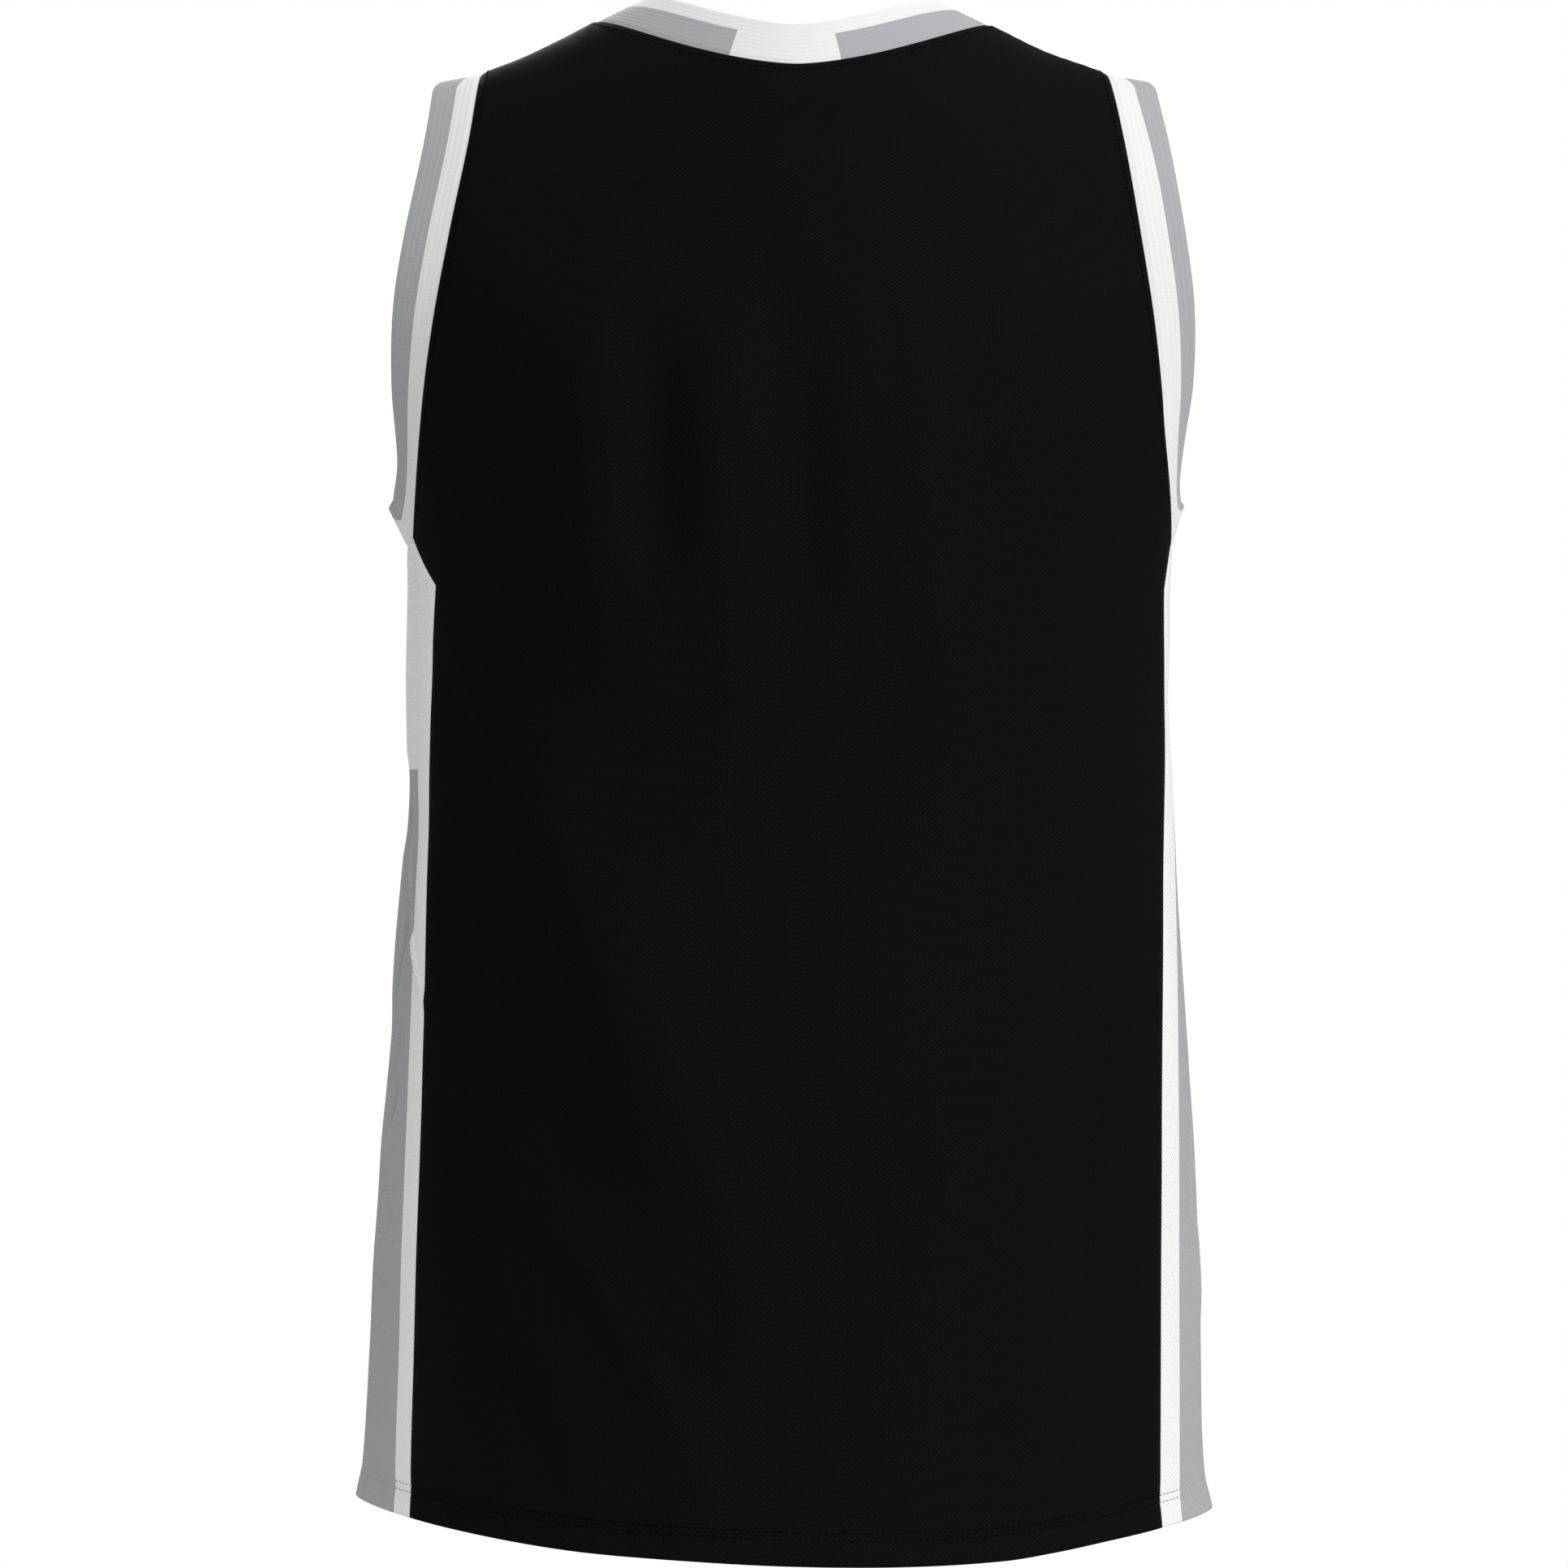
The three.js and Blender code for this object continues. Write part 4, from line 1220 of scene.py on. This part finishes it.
def runTree(name, lines, nodes, values):
    # the lines, each a row of points, put through a node tree and made a plain mesh
    mesh = bpy.data.meshes.new(name)
    edges, count = [], 0
    for line in lines:
        edges += [(count + i, count + i + 1) for i in range(len(line) - 1)]
        count += len(line)
    mesh.from_pydata((np.concatenate(lines) * mm).tolist(), edges, [])
    obj = addObject(name, mesh)
    modifier = obj.modifiers.new("sewing", "NODES")
    modifier.node_group = nodes.tree
    for key, value in values.items():
        modifier[nodes.ids[key]] = value
    evaluated = obj.evaluated_get(bpy.context.evaluated_depsgraph_get())
    made = bpy.data.meshes.new_from_object(evaluated)
    obj.modifiers.clear()
    obj.data = made
    made.name = name
    return obj

threadLift = wallSizes["outside"] + sewing["lift"]
surfaces = {name: BVHTree.FromPolygons(sheet["point"].tolist(), sheet["quads"].tolist())
            for name, sheet in seamLines.items()}

def onCloth(name, line, lift):
    # the line laid on a piece's outer side
    laid = []
    sheet = seamLines[name]
    for place in line:
        spot, facing, face, _ = surfaces[name].find_nearest(Vector(place))
        guide = sheet["normal"][sheet["quads"][face][0]]
        facing = np.array(facing)
        facing *= 1 if facing @ guide > 0 else -1
        laid.append(np.array(spot) + facing * lift)
    return np.array(laid)


def alongSeam(piece, line, towards):
    # a row at a set distance from a seam
    run = seamRun(piece, line)
    near = run[0] + tapeFrames(*run, towards) * sewing["edge"]
    return onCloth(piece, near, threadLift)


def hemRow(piece, height, lift):
    sheet = seamLines[piece]
    row = panelCuts["hemRows"].index(height)
    columns = len(sheet["hem"])
    pick = sheet["hem"] + row * columns
    return sheet["point"][pick] + sheet["normal"][pick] * lift


blackRows, paleRows = [], []
for face in ("back", "front"):
    blackRows.append(alongSeam(face, "neck", np.array([0, 0, -1])))
    for side in (-1, 1):
        blackRows.append(alongSeam(face, f"arm{side}", np.array([-side, 0, 0])))
    blackRows += [hemRow(face, height, threadLift) for height in hemSewing["rows"]]
for name in ("left", "right"):
    paleRows += [hemRow(name, height, threadLift) for height in hemSewing["rows"]]


def evenLine(line):
    length = lengthAlong(line)
    return valuesAt(np.linspace(0, length[-1], int(length[-1] / sewing["spacing"] * 2)), length, line)


def zigzag(piece):
    # the looper thread inside the hem, back and forth between its two rows
    under = wallSizes["outside"] - wallSizes["hem"] - 0.1
    low, high = (evenLine(hemRow(piece, height, under)) for height in hemSewing["rows"])
    count = min(len(low), len(high))
    return np.where((np.arange(count) % 2 == 0)[:, None], low[:count], high[:count])


stitches, threads = stitchTree(), threadTree()
sizes = {"Spacing": sewing["spacing"] * mm, "Length": sewing["length"] * mm,
         "Thickness": sewing["thickness"] * mm, "Seed": sewing["seed"]}
blackStitches = runTree("panel_stitches", blackRows, stitches, {**sizes, "Thread": blackThread})
paleStitches = runTree("side_stitches", paleRows, stitches, {**sizes, "Thread": paleThread})
loopers = []
for names, thread, label in ((("back", "front"), blackThread, "panel_looper"),
                             (("left", "right"), paleThread, "side_looper")):
    values = {"Thickness": sewing["zigzagThickness"] * mm, "Thread": thread}
    loopers.append(runTree(label, [zigzag(name) for name in names], threads, values))
for piece in (blackStitches, paleStitches, *loopers):
    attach(piece, "root")
    print(piece.name, "has", len(piece.data.polygons), "faces")

cuts = (
    (sheets["back"], "back_panel", "black_mesh", (0.46, 0.79), 0.318,
     (blackStitches, loopers[0], seamAllowances)),
    (sheets["front"], "front_panel", "black_mesh", (0.46, 0.79), 0.294, ()),
    (sheets["left"], "side_panel_left", "white_mesh", (0.115, 0.5), 0.046,
     (paleStitches, loopers[1])),
    (sheets["right"], "side_panel_right", "white_mesh", (0.115, 0.5), 0.047, ()),
    (bands["left"][0], "armhole_rib_left", "rib_knit", (0.56, 0.025), None, ()),
    (bands["right"][0], "armhole_rib_right", "rib_knit", (0.56, 0.025), None, ()),
    (bands["neck"][0], "neck_rib", "rib_knit", (0.6, 0.026), None, ()),
)
for piece, node, slot, flat, area, others in cuts:
    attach(piece, "root")
    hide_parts(node)

# Floor, background and light
studio = {
    "floor": -1450, "pale": (0.9, 0.9, 0.9, 1), "backdrop": 1.0, "sky": 0.98, "ground": 0.22,
    "size": 2.4,
}


def addStudio():
    plain = Shader("floor")
    plain.node("ShaderNodeOutputMaterial", None,
               plain.node("ShaderNodeBsdfPrincipled", None, studio["pale"], Roughness=0.9))
    mesh = bpy.data.meshes.new("floor")
    size = studio["size"]
    corners = [(-size, -size), (size, -size), (size, size), (-size, size)]
    mesh.from_pydata([(x, y, studio["floor"] * mm) for x, y in corners], [], [(0, 1, 2, 3)])
    mesh.materials.append(plain.material)
    addObject("floor", mesh)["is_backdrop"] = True
    world = bpy.data.worlds.new("studio")
    world.use_nodes = True
    sky = Nodes(world.node_tree)
    height = sky.node("ShaderNodeSeparateXYZ", None, sky.node("ShaderNodeTexCoord"), output=2)
    light = height.ramp(-0.3, 0.6, studio["ground"], studio["sky"])
    seen = sky.node("ShaderNodeLightPath")
    strength = sky.node("ShaderNodeMix", None, seen, None, light, studio["backdrop"])
    glow = sky.node("ShaderNodeBackground", None, (1, 1, 1, 1), strength)
    sky.node("ShaderNodeOutputWorld", None, glow)
    bpy.context.scene.world = world


def addLight(name, where, energy, size):
    data = bpy.data.lights.new(name, "AREA")
    data.energy, data.size = energy, size
    obj = addObject(name, data)
    obj.location = where
    target = Vector((0, 0, -0.38))
    obj.rotation_euler = (target - obj.location).to_track_quat("-Z", "Y").to_euler()


addStudio()
for name, where, energy, size in (("key", (-2.6, 1.9, 1.7), 86, 1.8),
                                  ("fill", (-0.9, 2.9, 1.2), 24, 0.8),
                                  ("front key", (0.9, -3.2, 1.6), 60, 1.4)):
    addLight(name, Vector(where), energy, size)

sizes = {"cad": cadBounds, "visual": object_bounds()}
